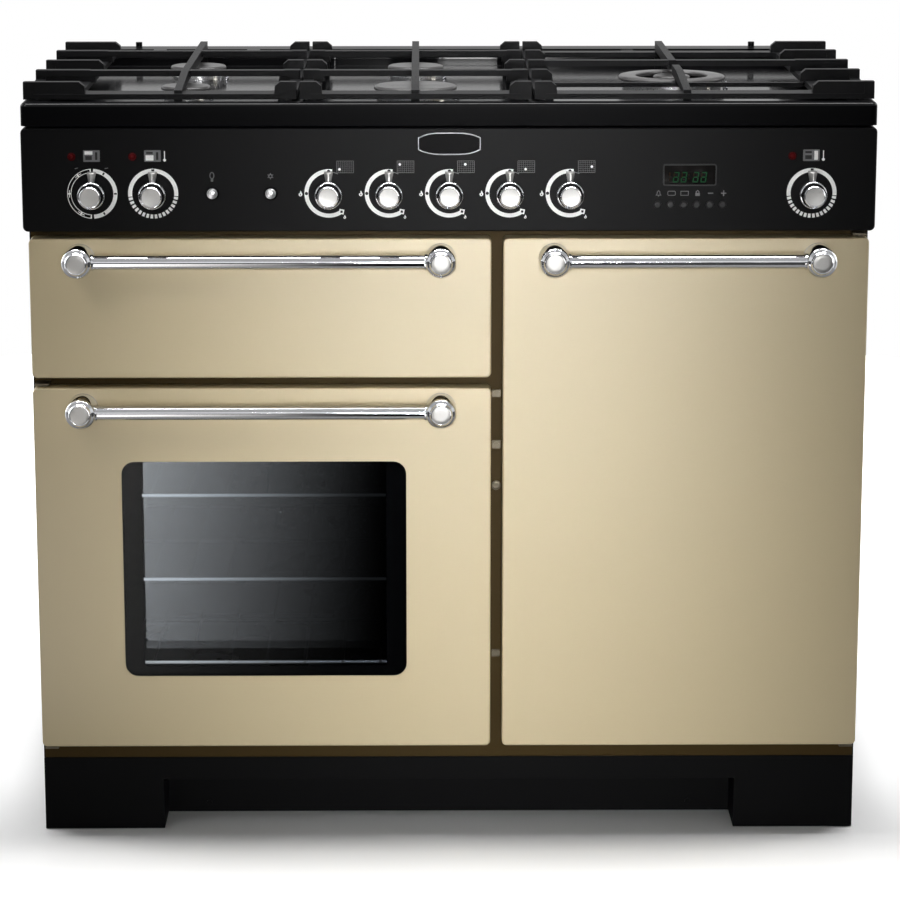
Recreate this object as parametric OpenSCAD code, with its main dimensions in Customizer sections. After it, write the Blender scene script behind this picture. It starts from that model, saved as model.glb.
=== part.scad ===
// Range cooker, 100 cm class: five gas burners, a drop-down grill door over a side-hinged
// oven door on the left, and one tall side-hinged oven door on the right.
// Millimetres. X runs to the right seen from the front, Y to the back, Z up from the floor.
// The origin is on the floor, below the middle of the whole depth with the handles.

/* [Overall] */
// Width over the control panel and the hob
cooker_w = 996; // [960:1:1040]
// Depth from the face of the control panel to the back edge
case_d = 608; // [595:1:640]
// How far the casing sides stand in from the panel ends
casing_inset = 3; // [1:0.5:5]
// Sheet thickness of the casing and the oven liners
sheet_t = 1.5; // [1:0.25:2]
// Gap between the rear edge of the sides and the back panel
back_recess = 18.5; // [17:0.5:22]
// Running clearance between pieces on different bodies
clear = 0.3; // [0.25:0.05:0.4]
// Radial clearance of a shaft or pin in its bore
fit_clear = 0.05; // [0.03:0.01:0.09]

/* [Heights] */
// Height of the plinth
plinth_h = 92; // [85:1:110]
// Gap between the plinth and the lower doors
plinth_gap = 23; // [15:1:28]
// Height of the left oven door
left_door_h = 443; // [425:1:465]
// Gap between the left oven door and the grill door
door_gap = 12.5; // [12:0.5:16]
// Height of the grill door
grill_door_h = 166.5; // [160:0.5:180]
// Gap between the doors and the control panel
panel_gap = 9.5; // [8:0.5:12]
// Height of the control panel
panel_h = 121.5; // [119:0.5:130]
// Shadow gap between the panel and the hob
hob_gap = 2; // [1:0.5:4]
// Height of the hob's outer lip
lip_h = 27; // [25:1:30]
// How far the pan supports stand above the lip
support_rise = 22; // [20:1:26]

/* [Doors] */
// Middle of the gap between the left and right doors
split_x = 56.5; // [40:0.5:70]
// Width of that gap
split_gap = 14; // [12:0.5:18]
// How far the doors stand in from the casing sides
door_inset = 2; // [1:0.5:4]
// How far the door faces lie behind the panel face
door_setback = 8; // [6:0.5:12]
// Thickness of a door
door_t = 24; // [22:0.5:26]
// Sheet thickness of a door's outer skin
door_skin = 2; // [1.6:0.2:3]
// Corner radius of the doors
door_corner = 6; // [4:0.5:9]
// Bevel along the front edges of doors and panel
edge_bevel = 1.4; // [0.8:0.2:1.6]
// Space between a shut door and the front frame
door_stand = 6; // [5.6:0.2:8]
// Distance of the oven doors' catches below the left door's top edge
catch_drop = 123; // [110:1:140]
// Distance of the grill door's catch below its top edge
grill_catch_drop = 37; // [30:1:50]
// Length of an oven door's catch
catch_l = 30; // [20:1:40]
// Distance of the catches from the doors' free edges
catch_in = 3; // [2:0.5:6]
// Width of a catch
catch_w = 14; // [10:1:16]
// Radius of the frame's screws in the gap between the doors
frame_screw_r = 4; // [3:0.5:5]
// Thickness of the inner door panels
inner_t = 2; // [1.2:0.2:3]
// Width of the seal's rope
seal_w = 7; // [5:0.5:8]

/* [Window] */
// Distance from the left door's hinge edge to the window
window_side = 102.7; // [95:0.5:110]
// Width of the window
window_w = 339; // [320:1:350]
// Distance from the door's lower edge to the window
window_low = 88.5; // [80:0.5:100]
// Height of the window
window_h = 265.5; // [250:0.5:280]
// Corner radius of the window
window_r = 15.5; // [10:0.5:20]
// Thickness of each glass pane
pane_t = 4; // [3:0.5:5]
// How far a pane laps over the edge of its cut-out
pane_lap = 10; // [6:1:14]

/* [Handles] */
// Distance of the handle bosses from the door edges
boss_inset = 59.5; // [50:0.5:70]
// Distance of the handle bosses below the door's top edge
boss_drop = 23.5; // [20:0.5:30]
// Diameter of a boss
boss_d = 36; // [32:1:40]
// Diameter of a boss's polished face
boss_face_d = 25; // [20:1:30]
// How far a handle reaches out from the door face
handle_reach = 46; // [42:1:52]
// Diameter of the handle bar
bar_d = 16.5; // [14:0.5:18]
// Distance from the door face to the middle of the bar
bar_out = 30; // [28:0.5:32]

/* [Hinges] */
// Distance of the upright hinge axes from the doors' outer edges
hinge_side = 10; // [9:0.5:11]
// Distance of the upright hinge axes in front of the doors' backs
hinge_fore = 8; // [7.5:0.5:9]
// Radius of an upright hinge pin
hinge_pin_r = 4; // [3:0.5:4.5]
// How far an upright pin reaches into its door
hinge_pin_in = 10.5; // [9:0.5:12]
// Thickness of a hinge bracket
bracket_t = 2.5; // [2:0.25:3]
// Height of the grill hinge axis above the door's lower edge
grill_axis_up = 7.5; // [7:0.5:8]
// Distance of the grill hinge axis in front of the door's back
grill_axis_fore = 12; // [11.5:0.5:12.5]
// Radius of a grill hinge pin
grill_pin_r = 3; // [2.5:0.25:3.5]
// Outer radius of the eye round that pin
grill_eye_r = 5.5; // [5:0.25:6]
// Thickness of that eye
grill_eye_t = 4; // [3:0.5:5]
// Distance of the grill hinges from the door's side edges
grill_hinge_side = 43; // [40:1:50]

/* [Control panel] */
// Sheet thickness of the control panel
panel_t = 2; // [1.6:0.2:2.4]
// Height of the knob row above the panel's lower edge
knob_up = 44.8; // [42:0.2:48]
// Place of the grill knob across the panel
grill_knob_x = -415.9; // [-420:0.1:-412]
// Place of the left oven knob
left_knob_x = -345.1; // [-348:0.1:-342]
// Place of the right oven knob
right_knob_x = 422.8; // [418:0.1:426]
// Spacing of the five hob knobs, the middle one at the centre
hob_knob_pitch = 70.3; // [69:0.1:72]
// Place of the oven light button
light_button_x = -276.4; // [-280:0.1:-272]
// Place of the spark button
spark_button_x = -208.3; // [-212:0.1:-204]
// Radius of those two button caps
button_r = 4.75; // [4:0.25:5.5]
// Travel of those two buttons
button_travel = 3; // [2:0.5:4]
// Outer radius of the button bezels
bezel_r = 7; // [6.5:0.25:8]
// Outer radius of the dial rings
dial_r = 29.7; // [28:0.1:31]
// Width of the dial rings
dial_w = 4.7; // [4:0.1:6]
// Thickness of the dial rings and bezels
dial_t = 1.2; // [0.8:0.1:1.4]
// Height of the indicator lamps above the panel's lower edge
lamp_up = 88.1; // [86:0.1:92]
// Radius of an indicator lamp
lamp_r = 4.5; // [4:0.25:5.5]
// Width of the bare name plate
plate_w = 73; // [60:1:80]
// Height of the bare name plate
plate_h = 26; // [20:1:28]
// Distance of the name plate's top below the panel's top
plate_drop = 5.5; // [4:0.5:7]

/* [Knobs] */
// Radius of a knob's collar
knob_collar_r = 16; // [15:0.5:17]
// Radius of a knob's polished face
knob_face_r = 11.5; // [10:0.5:13]
// How far a knob stands out from the panel
knob_out = 35; // [32:1:38]
// Length of the collar along the knob's axis
knob_collar_l = 21.5; // [19:0.5:24]
// Reach of the pointer from the knob's axis
pointer_reach = 26; // [24:0.5:28]
// Width of the pointer at its tip
pointer_w = 10; // [8:0.5:12]
// Radius of a knob's spindle
spindle_r = 3; // [2.5:0.25:3.5]

/* [Clock] */
// Left edge of the clock window
clock_x = 249.8; // [246:0.2:254]
// Width of the clock window
clock_w = 61.2; // [56:0.2:64]
// Height of the clock window's lower edge above the panel's
clock_up = 53.9; // [52:0.1:56]
// Height of the clock window
clock_h = 24.2; // [20:0.2:26]
// Place of the first clock button
clock_button_x = 243.2; // [240:0.2:246]
// Spacing of the six clock buttons
clock_button_pitch = 15.2; // [14.6:0.1:15.6]
// Height of the clock buttons above the panel's lower edge
clock_button_up = 30.8; // [29:0.1:33]
// Radius of a clock button
clock_button_r = 4.6; // [4:0.1:4.8]
// Travel of a clock button
clock_button_travel = 1.5; // [1:0.25:2]

/* [Hob] */
// Width of the hob's flat rim
rim_w = 16; // [12:1:18]
// Depth of the wells below the rim
well_depth = 13; // [11:1:14]
// Thickness of the hob pressing
hob_t = 2.5; // [2:0.25:3]
// Corner radius of the hob seen from above
hob_corner = 8; // [4:0.5:12]
// Rounding along the top edge of the hob's lip
lip_round = 5; // [2:0.5:6]
// Depth of the rear shelf that carries the vent trim
shelf_d = 68; // [60:1:76]
// Height of the vent trim's rear edge above the rim
vent_rise = 6; // [4:0.5:8]
// Spacing of the vent slots
vent_pitch = 124; // [116:1:128]
// Length of a vent slot
vent_slot = 107; // [96:1:110]
// Distance of the two rear studs from the middle
stud_x = 409; // [400:1:430]
// Radius of a rear stud
stud_r = 4.3; // [4:0.1:5]

/* [Pan supports] */
// Gap between two pan supports
support_gap = 4; // [3:0.5:6]
// Middle of the gap between the left and centre supports
support_split_l = -176; // [-184:1:-170]
// Middle of the gap between the centre and right supports
support_split_r = 98; // [90:1:104]
// How far the supports stand in from the hob's sides
support_inset = 2; // [1:0.5:4]
// Depth in front of the rear shelf for which the five rows are given
row_depth = 540; // [530:1:560]
// Distance of the first row of blocks behind the panel face at that depth
row_1 = 28; // [26:1:32]
// Distance of the second row, over the front burners
row_2 = 160; // [152:1:166]
// Distance of the third row, over the wok burner
row_3 = 272; // [266:1:278]
// Distance of the fourth row, over the rear burners
row_4 = 391; // [385:1:397]
// Distance of the last row
row_5 = 500; // [494:1:506]
// Width of the rails
rail_w = 12; // [10:0.5:14]
// Height of the rails' top below the block tops
rail_drop = 14; // [12:0.5:16]
// Thickness of the rails from top to bottom
rail_t = 6.3; // [5:0.1:7]
// Width of the blocks from front to back
block_w = 14; // [12:0.5:16]
// Length of the outer blocks
outer_block = 70; // [60:1:80]
// Length of the inner blocks
inner_block = 24; // [20:1:30]
// Depth of the flat front rail
front_rail = 36; // [24:1:40]
// How far the flat side rails reach short of the blocks' ends
rail_short = 4; // [2:0.5:8]
// Corner radius of the space inside the flat rails
bay_corner = 14; // [8:1:20]
// Width of the flat cross bars
cross_w = 15; // [12:0.5:16]
// Thickness of the flat cross bars
cross_t = 7; // [5:0.5:9]
// Width of the spines and of the wok burner's low bar
grate_bar = 9; // [7:0.5:10]
// Height of the spines
grate_bar_h = 12; // [10:0.5:13]
// Drop of the cross bars below the block tops
bar_sink = 0.6; // [0.4:0.1:2]
// Radius of the supports' feet
support_foot_r = 5; // [4:0.5:6]
// How far a pan support is lifted by its joint
lift = 60; // [40:5:100]

/* [Burners] */
// Place of the left burners across the hob
burner_left_x = -316; // [-330:1:-305]
// Place of the centre burners
burner_centre_x = -39.5; // [-45:0.5:-34]
// Place of the wok burner
burner_wok_x = 278; // [270:1:290]
// Cap radius of the left front burner
cap_small_r = 30; // [26:1:34]
// Cap radius of the two rear burners
cap_medium_r = 35.5; // [32:0.5:40]
// Cap radius of the centre front burner
cap_large_r = 50; // [44:1:54]
// Outer radius of the wok burner's ring cap
cap_wok_r = 66; // [60:1:68]
// Width of the wok burner's ring cap
cap_wok_w = 22; // [18:1:25]
// Thickness of the caps
cap_t = 5; // [4:0.5:6]
// How far a cap overhangs its crown
cap_lap = 5; // [3:0.5:7]
// Height of the crowns above the wells
crown_h = 11; // [9:0.5:12]
// Width of a flame slot
flame_slot = 2.2; // [1.6:0.2:2.6]
// Radius of the mixing chambers below the hob
mixer_r = 20; // [16:0.5:22]

/* [Cavities] */
// Distance from a door's side edge to its cavity
cavity_side = 32.5; // [31:0.5:38]
// Distance from the left oven door's top and bottom to its cavity
cavity_left_edge = 30; // [26:1:34]
// Distance from the right door's top and bottom to its cavity
cavity_right_edge = 35; // [30:1:40]
// Distance from the grill door's lower edge to its cavity
cavity_grill_low = 24.5; // [24:0.5:27]
// Distance from the grill door's top edge to its cavity
cavity_grill_high = 15; // [12:0.5:18]
// Depth of the ovens behind the front frame
oven_depth = 460; // [440:1:480]
// Depth of the grill cavity
grill_depth = 430; // [410:1:450]

/* [Shelves] */
// Height of the lowest left shelf above the oven floor
left_shelf_low = 62.5; // [50:0.5:75]
// Spacing of the left oven's shelves
left_shelf_pitch = 104.5; // [90:0.5:115]
// Height of the lower right shelf above the oven floor
right_shelf_low = 150; // [120:5:180]
// Spacing of the right oven's shelves
right_shelf_pitch = 190; // [150:5:220]
// Radius of a shelf's frame wire
frame_wire_r = 3; // [2.5:0.25:3.5]
// Radius of a shelf's thin wires
wire_r = 2; // [1.5:0.25:2.25]
// Spacing of the thin wires
wire_pitch = 46; // [36:1:50]
// How far the shelves stand behind the front frame's face
shelf_back = 14; // [13:0.5:18]
// Length of a shelf from front to back
shelf_len = 385; // [360:1:385]
// Travel of shelves and grill pan behind the shut doors
shelf_travel = 18; // [12:1:18]
// Width of the runners
runner_w = 14; // [12:0.5:18]
// Depth of the grill pan
pan_h = 28; // [22:1:34]

/* [Fans] */
// Radius of the fan wheels
fan_r = 72; // [60:1:76]
// Length of the fan blades along the shaft
fan_l = 26; // [20:1:28]
// Number of fan blades
fan_blades = 8; // [5:1:10]
// Half the width of the square fan covers
cover_half = 118; // [110:1:125]
// Distance of the fan covers from the ovens' rear wall
cover_stand = 50; // [46:1:54]
// Radius of the ring elements
ring_r = 92; // [88:1:96]
// Radius of the heating rods
rod_r = 4; // [3:0.5:4.5]
// Distance of the grill element from the cavity's side walls
grill_rod_side = 50; // [40:1:70]
// Distance of the grill element below the cavity's roof
grill_rod_drop = 15; // [13:0.5:16]
// Radius of the fan motors
motor_r = 32; // [28:1:36]
// Length of the fan motors
motor_l = 60; // [50:1:66]

/* [Plinth and feet] */
// Setback of the plinth behind the door faces
plinth_setback = 28.5; // [26:0.5:34]
// Width of the two plinth ends that reach the floor
plinth_end_w = 146; // [120:1:170]
// Height of the recess between them
recess_h = 63.5; // [55:0.5:70]
// Depth of that recess
recess_d = 65; // [50:1:80]
// Gap under the plinth sheets
plinth_lift = 1; // [0.5:0.5:3]
// Radius of the foot pads
pad_r = 22; // [18:1:26]
// Height of the foot pads
pad_h = 10; // [8:1:14]
// Distance of the feet from the casing sides
foot_side = 55; // [45:1:70]

/* [Gas] */
// Radius of the gas rail
gas_r = 8; // [7:0.5:9]
// Distance of the gas rail behind the panel face
gas_back = 80; // [76:1:88]
// Radius of the feed tubes
feed_r = 3; // [2.5:0.25:3.5]
// Radius of the inlet's thread
inlet_r = 10.5; // [9:0.25:11]
// Free length of the inlet's thread
inlet_l = 15; // [12:0.5:16]
// Distance of the inlet from the right casing side
inlet_side = 30; // [26:1:40]
// Radius of the two strap holes in the back panel
strap_r = 2.75; // [2.5:0.25:3.5]
// Distance of the strap holes from the middle
strap_x = 430; // [410:1:450]

/* [Hidden] */
$fn = 48;

// Colours
cream = [0.87, 0.82, 0.71];
black = [0.09, 0.09, 0.095];
soft_black = [0.14, 0.14, 0.145];
chrome = [0.78, 0.78, 0.8];
steel = [0.6, 0.6, 0.62];
iron = [0.11, 0.11, 0.115];
enamel_grey = [0.2, 0.2, 0.22];

// Levels
door_z = plinth_h + plinth_gap;
left_door_top = door_z + left_door_h;
grill_z = left_door_top + door_gap;
doors_top = grill_z + grill_door_h;
panel_z = doors_top + panel_gap;
panel_top = panel_z + panel_h;
hob_z = panel_top + hob_gap;
hob_top = hob_z + lip_h;
well_z = hob_top - well_depth;
well_corner = 24;
support_top = hob_top + support_rise;
knob_z = panel_z + knob_up;

// Depths
handle_proud = handle_reach - door_setback;
front_y = (handle_proud - case_d) / 2;
rear_y = front_y + case_d;
door_y = front_y + door_setback;
door_back = door_y + door_t;
frame_y = door_back + door_stand;
frame_back = frame_y + 2;
back_y = rear_y - back_recess - sheet_t;
panel_in = front_y + panel_t;
rows = [row_1, row_2, row_3, row_4, row_5];
function row_y(i) = front_y + rows[i] * (case_d - shelf_d) / row_depth;

// Widths
half_w = cooker_w / 2;
side_x = half_w - casing_inset;
inner_x = side_x - sheet_t;
door_edge = side_x - door_inset;
left_edge = split_x - split_gap / 2;
right_edge = split_x + split_gap / 2;

// Cavities as [low x, high x, low z, high z]
left_cavity = [-door_edge + cavity_side, left_edge - cavity_side,
    door_z + cavity_left_edge, left_door_top - cavity_left_edge];
right_cavity = [right_edge + cavity_side, door_edge - cavity_side,
    door_z + cavity_right_edge, doors_top - cavity_right_edge];
grill_cavity = [left_cavity[0], left_cavity[1],
    grill_z + cavity_grill_low, doors_top - cavity_grill_high];
oven_back = frame_back + oven_depth;
grill_back = frame_back + grill_depth;
shelf_y = frame_y + shelf_back;
left_fan_x = (left_cavity[0] + left_cavity[1]) / 2;
left_fan_z = (left_cavity[2] + left_cavity[3]) / 2;
right_fan_x = (right_cavity[0] + right_cavity[1]) / 2;
right_fan_z = (right_cavity[2] + right_cavity[3]) / 2;
cover_t = 1.5;
cover_y = oven_back - cover_stand;
fan_y = oven_back - 8 - fan_l;

// Hinges
pin_x = door_edge - hinge_side;
pin_y = door_back - hinge_fore;
grill_axis_y = door_back - grill_axis_fore;
grill_axis_z = grill_z + grill_axis_up;
grill_hinges = [-door_edge + grill_hinge_side, left_edge - grill_hinge_side];

// Screws of the front frame, as distances below the left door's top edge
frame_screws = [12, 76, 125, 334];

// Window
window_x = -door_edge + window_side;
window_z = door_z + window_low;

// Burners as [x, row, cap radius]
burners = [[burner_left_x, 1, cap_small_r], [burner_left_x, 3, cap_medium_r],
    [burner_centre_x, 3, cap_medium_r], [burner_centre_x, 1, cap_large_r]];
wok_row = 2;
crown_top = well_z + crown_h;
mixer_low = well_z - 56;

// Knobs and buttons
hob_knob_x = [for (i = [-2:2]) i * hob_knob_pitch];
knob_stand = dial_t + 0.4;
valve_y = panel_in + 20;
spindle_end = valve_y + 18;
switch_y = panel_in + clear + 1.5 + button_travel + clear;
clock_face = panel_in + clear + 1 + clock_button_travel + clear;

// Pan supports as [low x, high x]
support_l = [-half_w + support_inset, support_split_l - support_gap / 2];
support_c = [support_split_l + support_gap / 2, support_split_r - support_gap / 2];
support_r = [support_split_r + support_gap / 2, half_w - support_inset];
rail_top = support_top - rail_drop;
rail_low = rail_top - rail_t;
foot_in = 12;
support_y0 = row_y(0) - block_w / 2;
support_y1 = row_y(4) + block_w / 2;

// Corner points of a rectangle with round corners
function round_rect(x0, z0, x1, z1, r, n = 6) =
    let (centres = [[x1 - r, z1 - r], [x0 + r, z1 - r], [x0 + r, z0 + r], [x1 - r, z0 + r]])
    [for (q = [0:3], k = [0:n])
        centres[q] + r * [cos(90 * q + 90 * k / n), sin(90 * q + 90 * k / n)]];

// Box between two corners
module box(x0, x1, y0, y1, z0, z1) {
    translate([x0, y0, z0])
        cube([x1 - x0, y1 - y0, z1 - z0]);
}

// Outline in X and Z, thick along Y
module slab_y(points, y0, y1) {
    translate([0, y1, 0])
        rotate([90, 0, 0])
            linear_extrude(y1 - y0)
                polygon(points);
}

// Outline in Y and Z, thick along X
module slab_x(points, x0, x1) {
    translate([x0, 0, 0])
        rotate([90, 0, 90])
            linear_extrude(x1 - x0)
                polygon(points);
}

module slab_z(points, z0, z1) {
    translate([0, 0, z0])
        linear_extrude(z1 - z0)
            polygon(points);
}

module rod_x(x0, x1, y, z, r) {
    translate([x0, y, z])
        rotate([0, 90, 0])
            cylinder(h = x1 - x0, r = r);
}

module rod_y(x, y0, y1, z, r) {
    translate([x, y1, z])
        rotate([90, 0, 0])
            cylinder(h = y1 - y0, r = r);
}

module rod_z(x, y, z0, z1, r) {
    translate([x, y, z0])
        cylinder(h = z1 - z0, r = r);
}

// Turned shape standing out of the panel face: profile points are [radius, distance out]
module turned(x, y, z, profile) {
    translate([x, y, z])
        rotate([90, 0, 0])
            rotate_extrude()
                polygon(profile);
}

// Folded sheet tray, open at the back, with a bevel round its front edge
module tray(x0, x1, z0, z1, y0, y1, t) {
    difference() {
        union() {
            hull() {
                slab_y(round_rect(x0 + edge_bevel, z0 + edge_bevel, x1 - edge_bevel,
                    z1 - edge_bevel, door_corner - edge_bevel), y0, y0 + 0.01);
                slab_y(round_rect(x0, z0, x1, z1, door_corner), y0 + edge_bevel, y0 + t);
            }
            slab_y(round_rect(x0, z0, x1, z1, door_corner), y0 + t, y1);
        }
        slab_y(round_rect(x0 + t, z0 + t, x1 - t, z1 - t, door_corner - t), y0 + t, y1 + 1);
    }
}

// Five-walled box, open at the front, for an oven cavity
module liner(c, depth_y) {
    difference() {
        box(c[0] - sheet_t, c[1] + sheet_t, frame_back, depth_y + sheet_t,
            c[2] - sheet_t, c[3] + sheet_t);
        box(c[0], c[1], frame_back - 1, depth_y, c[2], c[3]);
    }
}

module side_panels() {
    color(black)
        for (s = [-1, 1])
            box(s > 0 ? inner_x : -side_x, s > 0 ? side_x : -inner_x,
                frame_y, rear_y, plinth_h, hob_z);
}

module back_panel() {
    color(steel)
        difference() {
            box(-inner_x, inner_x, back_y, back_y + sheet_t, plinth_h + sheet_t, hob_z);
            rod_y(side_x - inlet_side, back_y - 1, back_y + sheet_t + 1, knob_z, inlet_r + 2);
            for (s = [-1, 1])
                rod_y(s * strap_x, back_y - 1, back_y + sheet_t + 1, hob_z - 20, strap_r);
            for (x = [-1, 1], k = [0:7])
                box(x * 250 - 60, x * 250 + 60, back_y - 1, back_y + sheet_t + 1,
                    hob_z - 60 - 14 * k, hob_z - 55 - 14 * k);
        }
}

module base_pan() {
    color(steel)
        box(-inner_x, inner_x, frame_back, back_y + sheet_t, plinth_h, plinth_h + sheet_t);
}

module front_frame() {
    color(soft_black)
        difference() {
            box(-inner_x, inner_x, frame_y, frame_back, plinth_h, hob_z);
            for (c = [left_cavity, right_cavity, grill_cavity])
                box(c[0], c[1], frame_y - 1, frame_back + 1, c[2], c[3]);
            box(-inner_x + 20, inner_x - 20, frame_y - 1, frame_back + 1,
                panel_z + 12, panel_top - 12);
        }
}

module hotplate() {
    shelf_y0 = rear_y - shelf_d;
    shelf_z = hob_top - 7;
    wells = [[-half_w + rim_w, support_split_l - 7], [support_split_l + 7, support_split_r - 7],
        [support_split_r + 7, half_w - rim_w]];
    color(black)
        difference() {
            union() {
                slab_z(round_rect(-half_w, front_y, half_w, rear_y, hob_corner), hob_z,
                    hob_top - lip_round);
                hull()
                    for (a = [0:22.5:90])
                        let (in = lip_round * (1 - cos(a)), z = hob_top - lip_round * (1 - sin(a)))
                            slab_z(round_rect(-half_w + in, front_y + in, half_w - in,
                                rear_y - in, max(hob_corner - in, 0.5)), z - 0.01, z);
            }
            // Hollow underside
            box(-half_w + hob_t, half_w - hob_t, front_y + hob_t, rear_y - hob_t,
                hob_z - 1, well_z - hob_t);
            // Wells, with low ridges left between them
            for (w = wells)
                slab_z(round_rect(w[0], front_y + rim_w, w[1], shelf_y0 - 8, well_corner),
                    well_z, hob_top + 1);
            for (x = [support_split_l, support_split_r])
                box(x - 8, x + 8, front_y + rim_w, shelf_y0 - 8, hob_top - 5, hob_top + 1);
            // Lower shelf for the vent trim
            box(-half_w - 1, half_w + 1, shelf_y0, rear_y + 1, shelf_z, hob_top + 1);
            // Holes for the mixing chambers
            for (b = burners)
                rod_z(b[0], row_y(b[1]), well_z - hob_t - 1, well_z + 1, mixer_r + 0.5);
            rod_z(burner_wok_x, row_y(wok_row), well_z - hob_t - 1, well_z + 1, mixer_r + 0.5);
        }
}

module vent_trim() {
    y0 = rear_y - shelf_d;
    z0 = hob_top - 7;
    z1 = hob_top + vent_rise;
    half = half_w - 8;
    slot_end = half - 6;
    color(black) {
        difference() {
            slab_x([[y0 + 2, z0], [rear_y, z0], [rear_y, z1 - 2], [rear_y - 2, z1],
                [rear_y - 12, z1], [y0 + 4, z0 + 9], [y0 + 2, z0 + 7]], -half, half);
            slab_x([[y0 + 6, z0 - 1], [rear_y - 2, z0 - 1], [rear_y - 2, z1 - 3],
                [rear_y - 12, z1 - 2.5], [y0 + 6, z0 + 6.5]], -half + 2, half - 2);
            for (k = [-3.5:1:3.5])
                box(max(k * vent_pitch - 7 - vent_slot / 2, -slot_end),
                    min(k * vent_pitch - 7 + vent_slot / 2, slot_end),
                    y0 + 24, y0 + 38, z0 - 1, z1 + 1);
        }
        for (s = [-1, 1])
            rod_z(s * stud_x, rear_y - 8, z1 - 1, z1 + 6, stud_r);
    }
}

// Crown of one burner with its flame slots and the mixing chamber below the hob
module burner_head(x, y, r) {
    slots = 2 * round(r * 0.45);
    difference() {
        union() {
            rod_z(x, y, well_z, well_z + 3, max(r, mixer_r) + 2);
            rod_z(x, y, well_z + 2, crown_top, r);
            rod_z(x, y, mixer_low, well_z, mixer_r);
        }
        rod_z(x, y, mixer_low + 3, crown_top + 1, r > mixer_r ? mixer_r - 6 : r - 6);
        for (k = [0:slots - 1])
            translate([x, y, crown_top - 5])
                rotate([0, 0, 360 * (k + 0.5) / slots])
                    translate([r - 3.5, -flame_slot / 2, 0])
                        cube([5, flame_slot, 6]);
    }
}

module burner_heads() {
    wok_y = row_y(wok_row);
    outer = cap_wok_r - cap_lap;
    ring_in = cap_wok_r - cap_wok_w;
    color([0.75, 0.75, 0.76]) {
        for (b = burners)
            burner_head(b[0], row_y(b[1]), b[2] - cap_lap);
        burner_head(burner_wok_x, wok_y, mixer_r);
        difference() {
            rod_z(burner_wok_x, wok_y, well_z, crown_top, outer);
            rod_z(burner_wok_x, wok_y, well_z - 1, crown_top + 1, ring_in);
            for (k = [0:35])
                translate([burner_wok_x, wok_y, crown_top - 5])
                    rotate([0, 0, 10 * k + 5])
                        translate([outer - 3.5, -flame_slot / 2, 0])
                            cube([5, flame_slot, 6]);
        }
        for (k = [0:2])
            translate([burner_wok_x, wok_y, well_z])
                rotate([0, 0, 120 * k + 30])
                    translate([mixer_r - 2, -5, 0])
                        cube([ring_in - mixer_r + 6, 10, 6]);
    }
}

// Flat cap with a soft upper edge
module cap(x, y, r) {
    translate([x, y, crown_top])
        rotate_extrude()
            polygon([[0, 0], [r - 1, 0], [r, 1], [r, cap_t - 2], [r - 0.6, cap_t - 0.6],
                [r - 2, cap_t], [0, cap_t]]);
}

module burner_caps() {
    r1 = cap_wok_r;
    r0 = cap_wok_r - cap_wok_w;
    color(enamel_grey) {
        for (b = burners)
            cap(b[0], row_y(b[1]), b[2]);
        cap(burner_wok_x, row_y(wok_row), mixer_r + cap_lap - 2);
        translate([burner_wok_x, row_y(wok_row), crown_top])
            rotate_extrude()
                polygon([[r0, 0], [r1 - 1, 0], [r1, 1], [r1, cap_t - 2], [r1 - 0.6, cap_t - 0.6],
                    [r1 - 2, cap_t], [r0 + 2, cap_t], [r0, cap_t - 1.5]]);
    }
}

module control_panel() {
    knobs = concat(hob_knob_x, [grill_knob_x, left_knob_x, right_knob_x]);
    color(soft_black)
        difference() {
            tray(-half_w, half_w, panel_z, panel_top, front_y, frame_y, panel_t);
            for (x = knobs)
                rod_y(x, front_y - 1, panel_in + 1, knob_z, spindle_r + 1.5);
            for (x = [light_button_x, spark_button_x])
                rod_y(x, front_y - 1, panel_in + 1, knob_z, button_r + 2 * fit_clear);
            for (x = [grill_knob_x, left_knob_x, right_knob_x])
                rod_y(x - 23.4, front_y - 1, panel_in + 1, panel_z + lamp_up, lamp_r);
            for (i = [0:5])
                rod_y(clock_button_x + i * clock_button_pitch, front_y - 1, panel_in + 1,
                    panel_z + clock_button_up, clock_button_r + 2 * fit_clear);
            box(clock_x, clock_x + clock_w, front_y - 1, panel_in + 1,
                panel_z + clock_up, panel_z + clock_up + clock_h);
        }
}

module dial_rings() {
    color([0.88, 0.88, 0.88])
        for (x = concat(hob_knob_x, [grill_knob_x, left_knob_x, right_knob_x]))
            turned(x, front_y, knob_z, [[dial_r - dial_w, 0], [dial_r, 0],
                [dial_r, dial_t - 0.4], [dial_r - 0.4, dial_t], [dial_r - dial_w, dial_t]]);
    color(chrome)
        for (x = [light_button_x, spark_button_x])
            turned(x, front_y, knob_z, [[button_r + 0.3, 0], [bezel_r, 0],
                [bezel_r - 0.6, dial_t + 0.6], [button_r + 0.3, dial_t + 0.6]]);
}

module indicator_lamps() {
    color([0.55, 0.05, 0.04])
        for (x = [grill_knob_x, left_knob_x, right_knob_x])
            turned(x - 23.4, panel_in, panel_z + lamp_up,
                [[0, 0], [lamp_r - fit_clear, 0], [lamp_r - fit_clear, panel_t + 0.6],
                [lamp_r - 1.2, panel_t + 1.6], [0, panel_t + 1.9]]);
}

module name_plate() {
    z1 = panel_top - plate_drop;
    z0 = z1 - plate_h;
    half = plate_w / 2;
    color(chrome)
        difference() {
            slab_y(round_rect(-half, z0, half, z1, 9, 8), front_y - 2.4, front_y);
            slab_y(round_rect(-half + 2, z0 + 2, half - 2, z1 - 2, 7, 8),
                front_y - 3, front_y - 1.4);
        }
}

// Thermostat or switch body with a bore for the knob's spindle
module spindle_housing(x, half) {
    difference() {
        box(x - half, x + half, valve_y, valve_y + 30, knob_z - half, knob_z + half);
        rod_y(x, valve_y - 1, spindle_end + 2, knob_z, spindle_r + fit_clear);
    }
}

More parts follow.
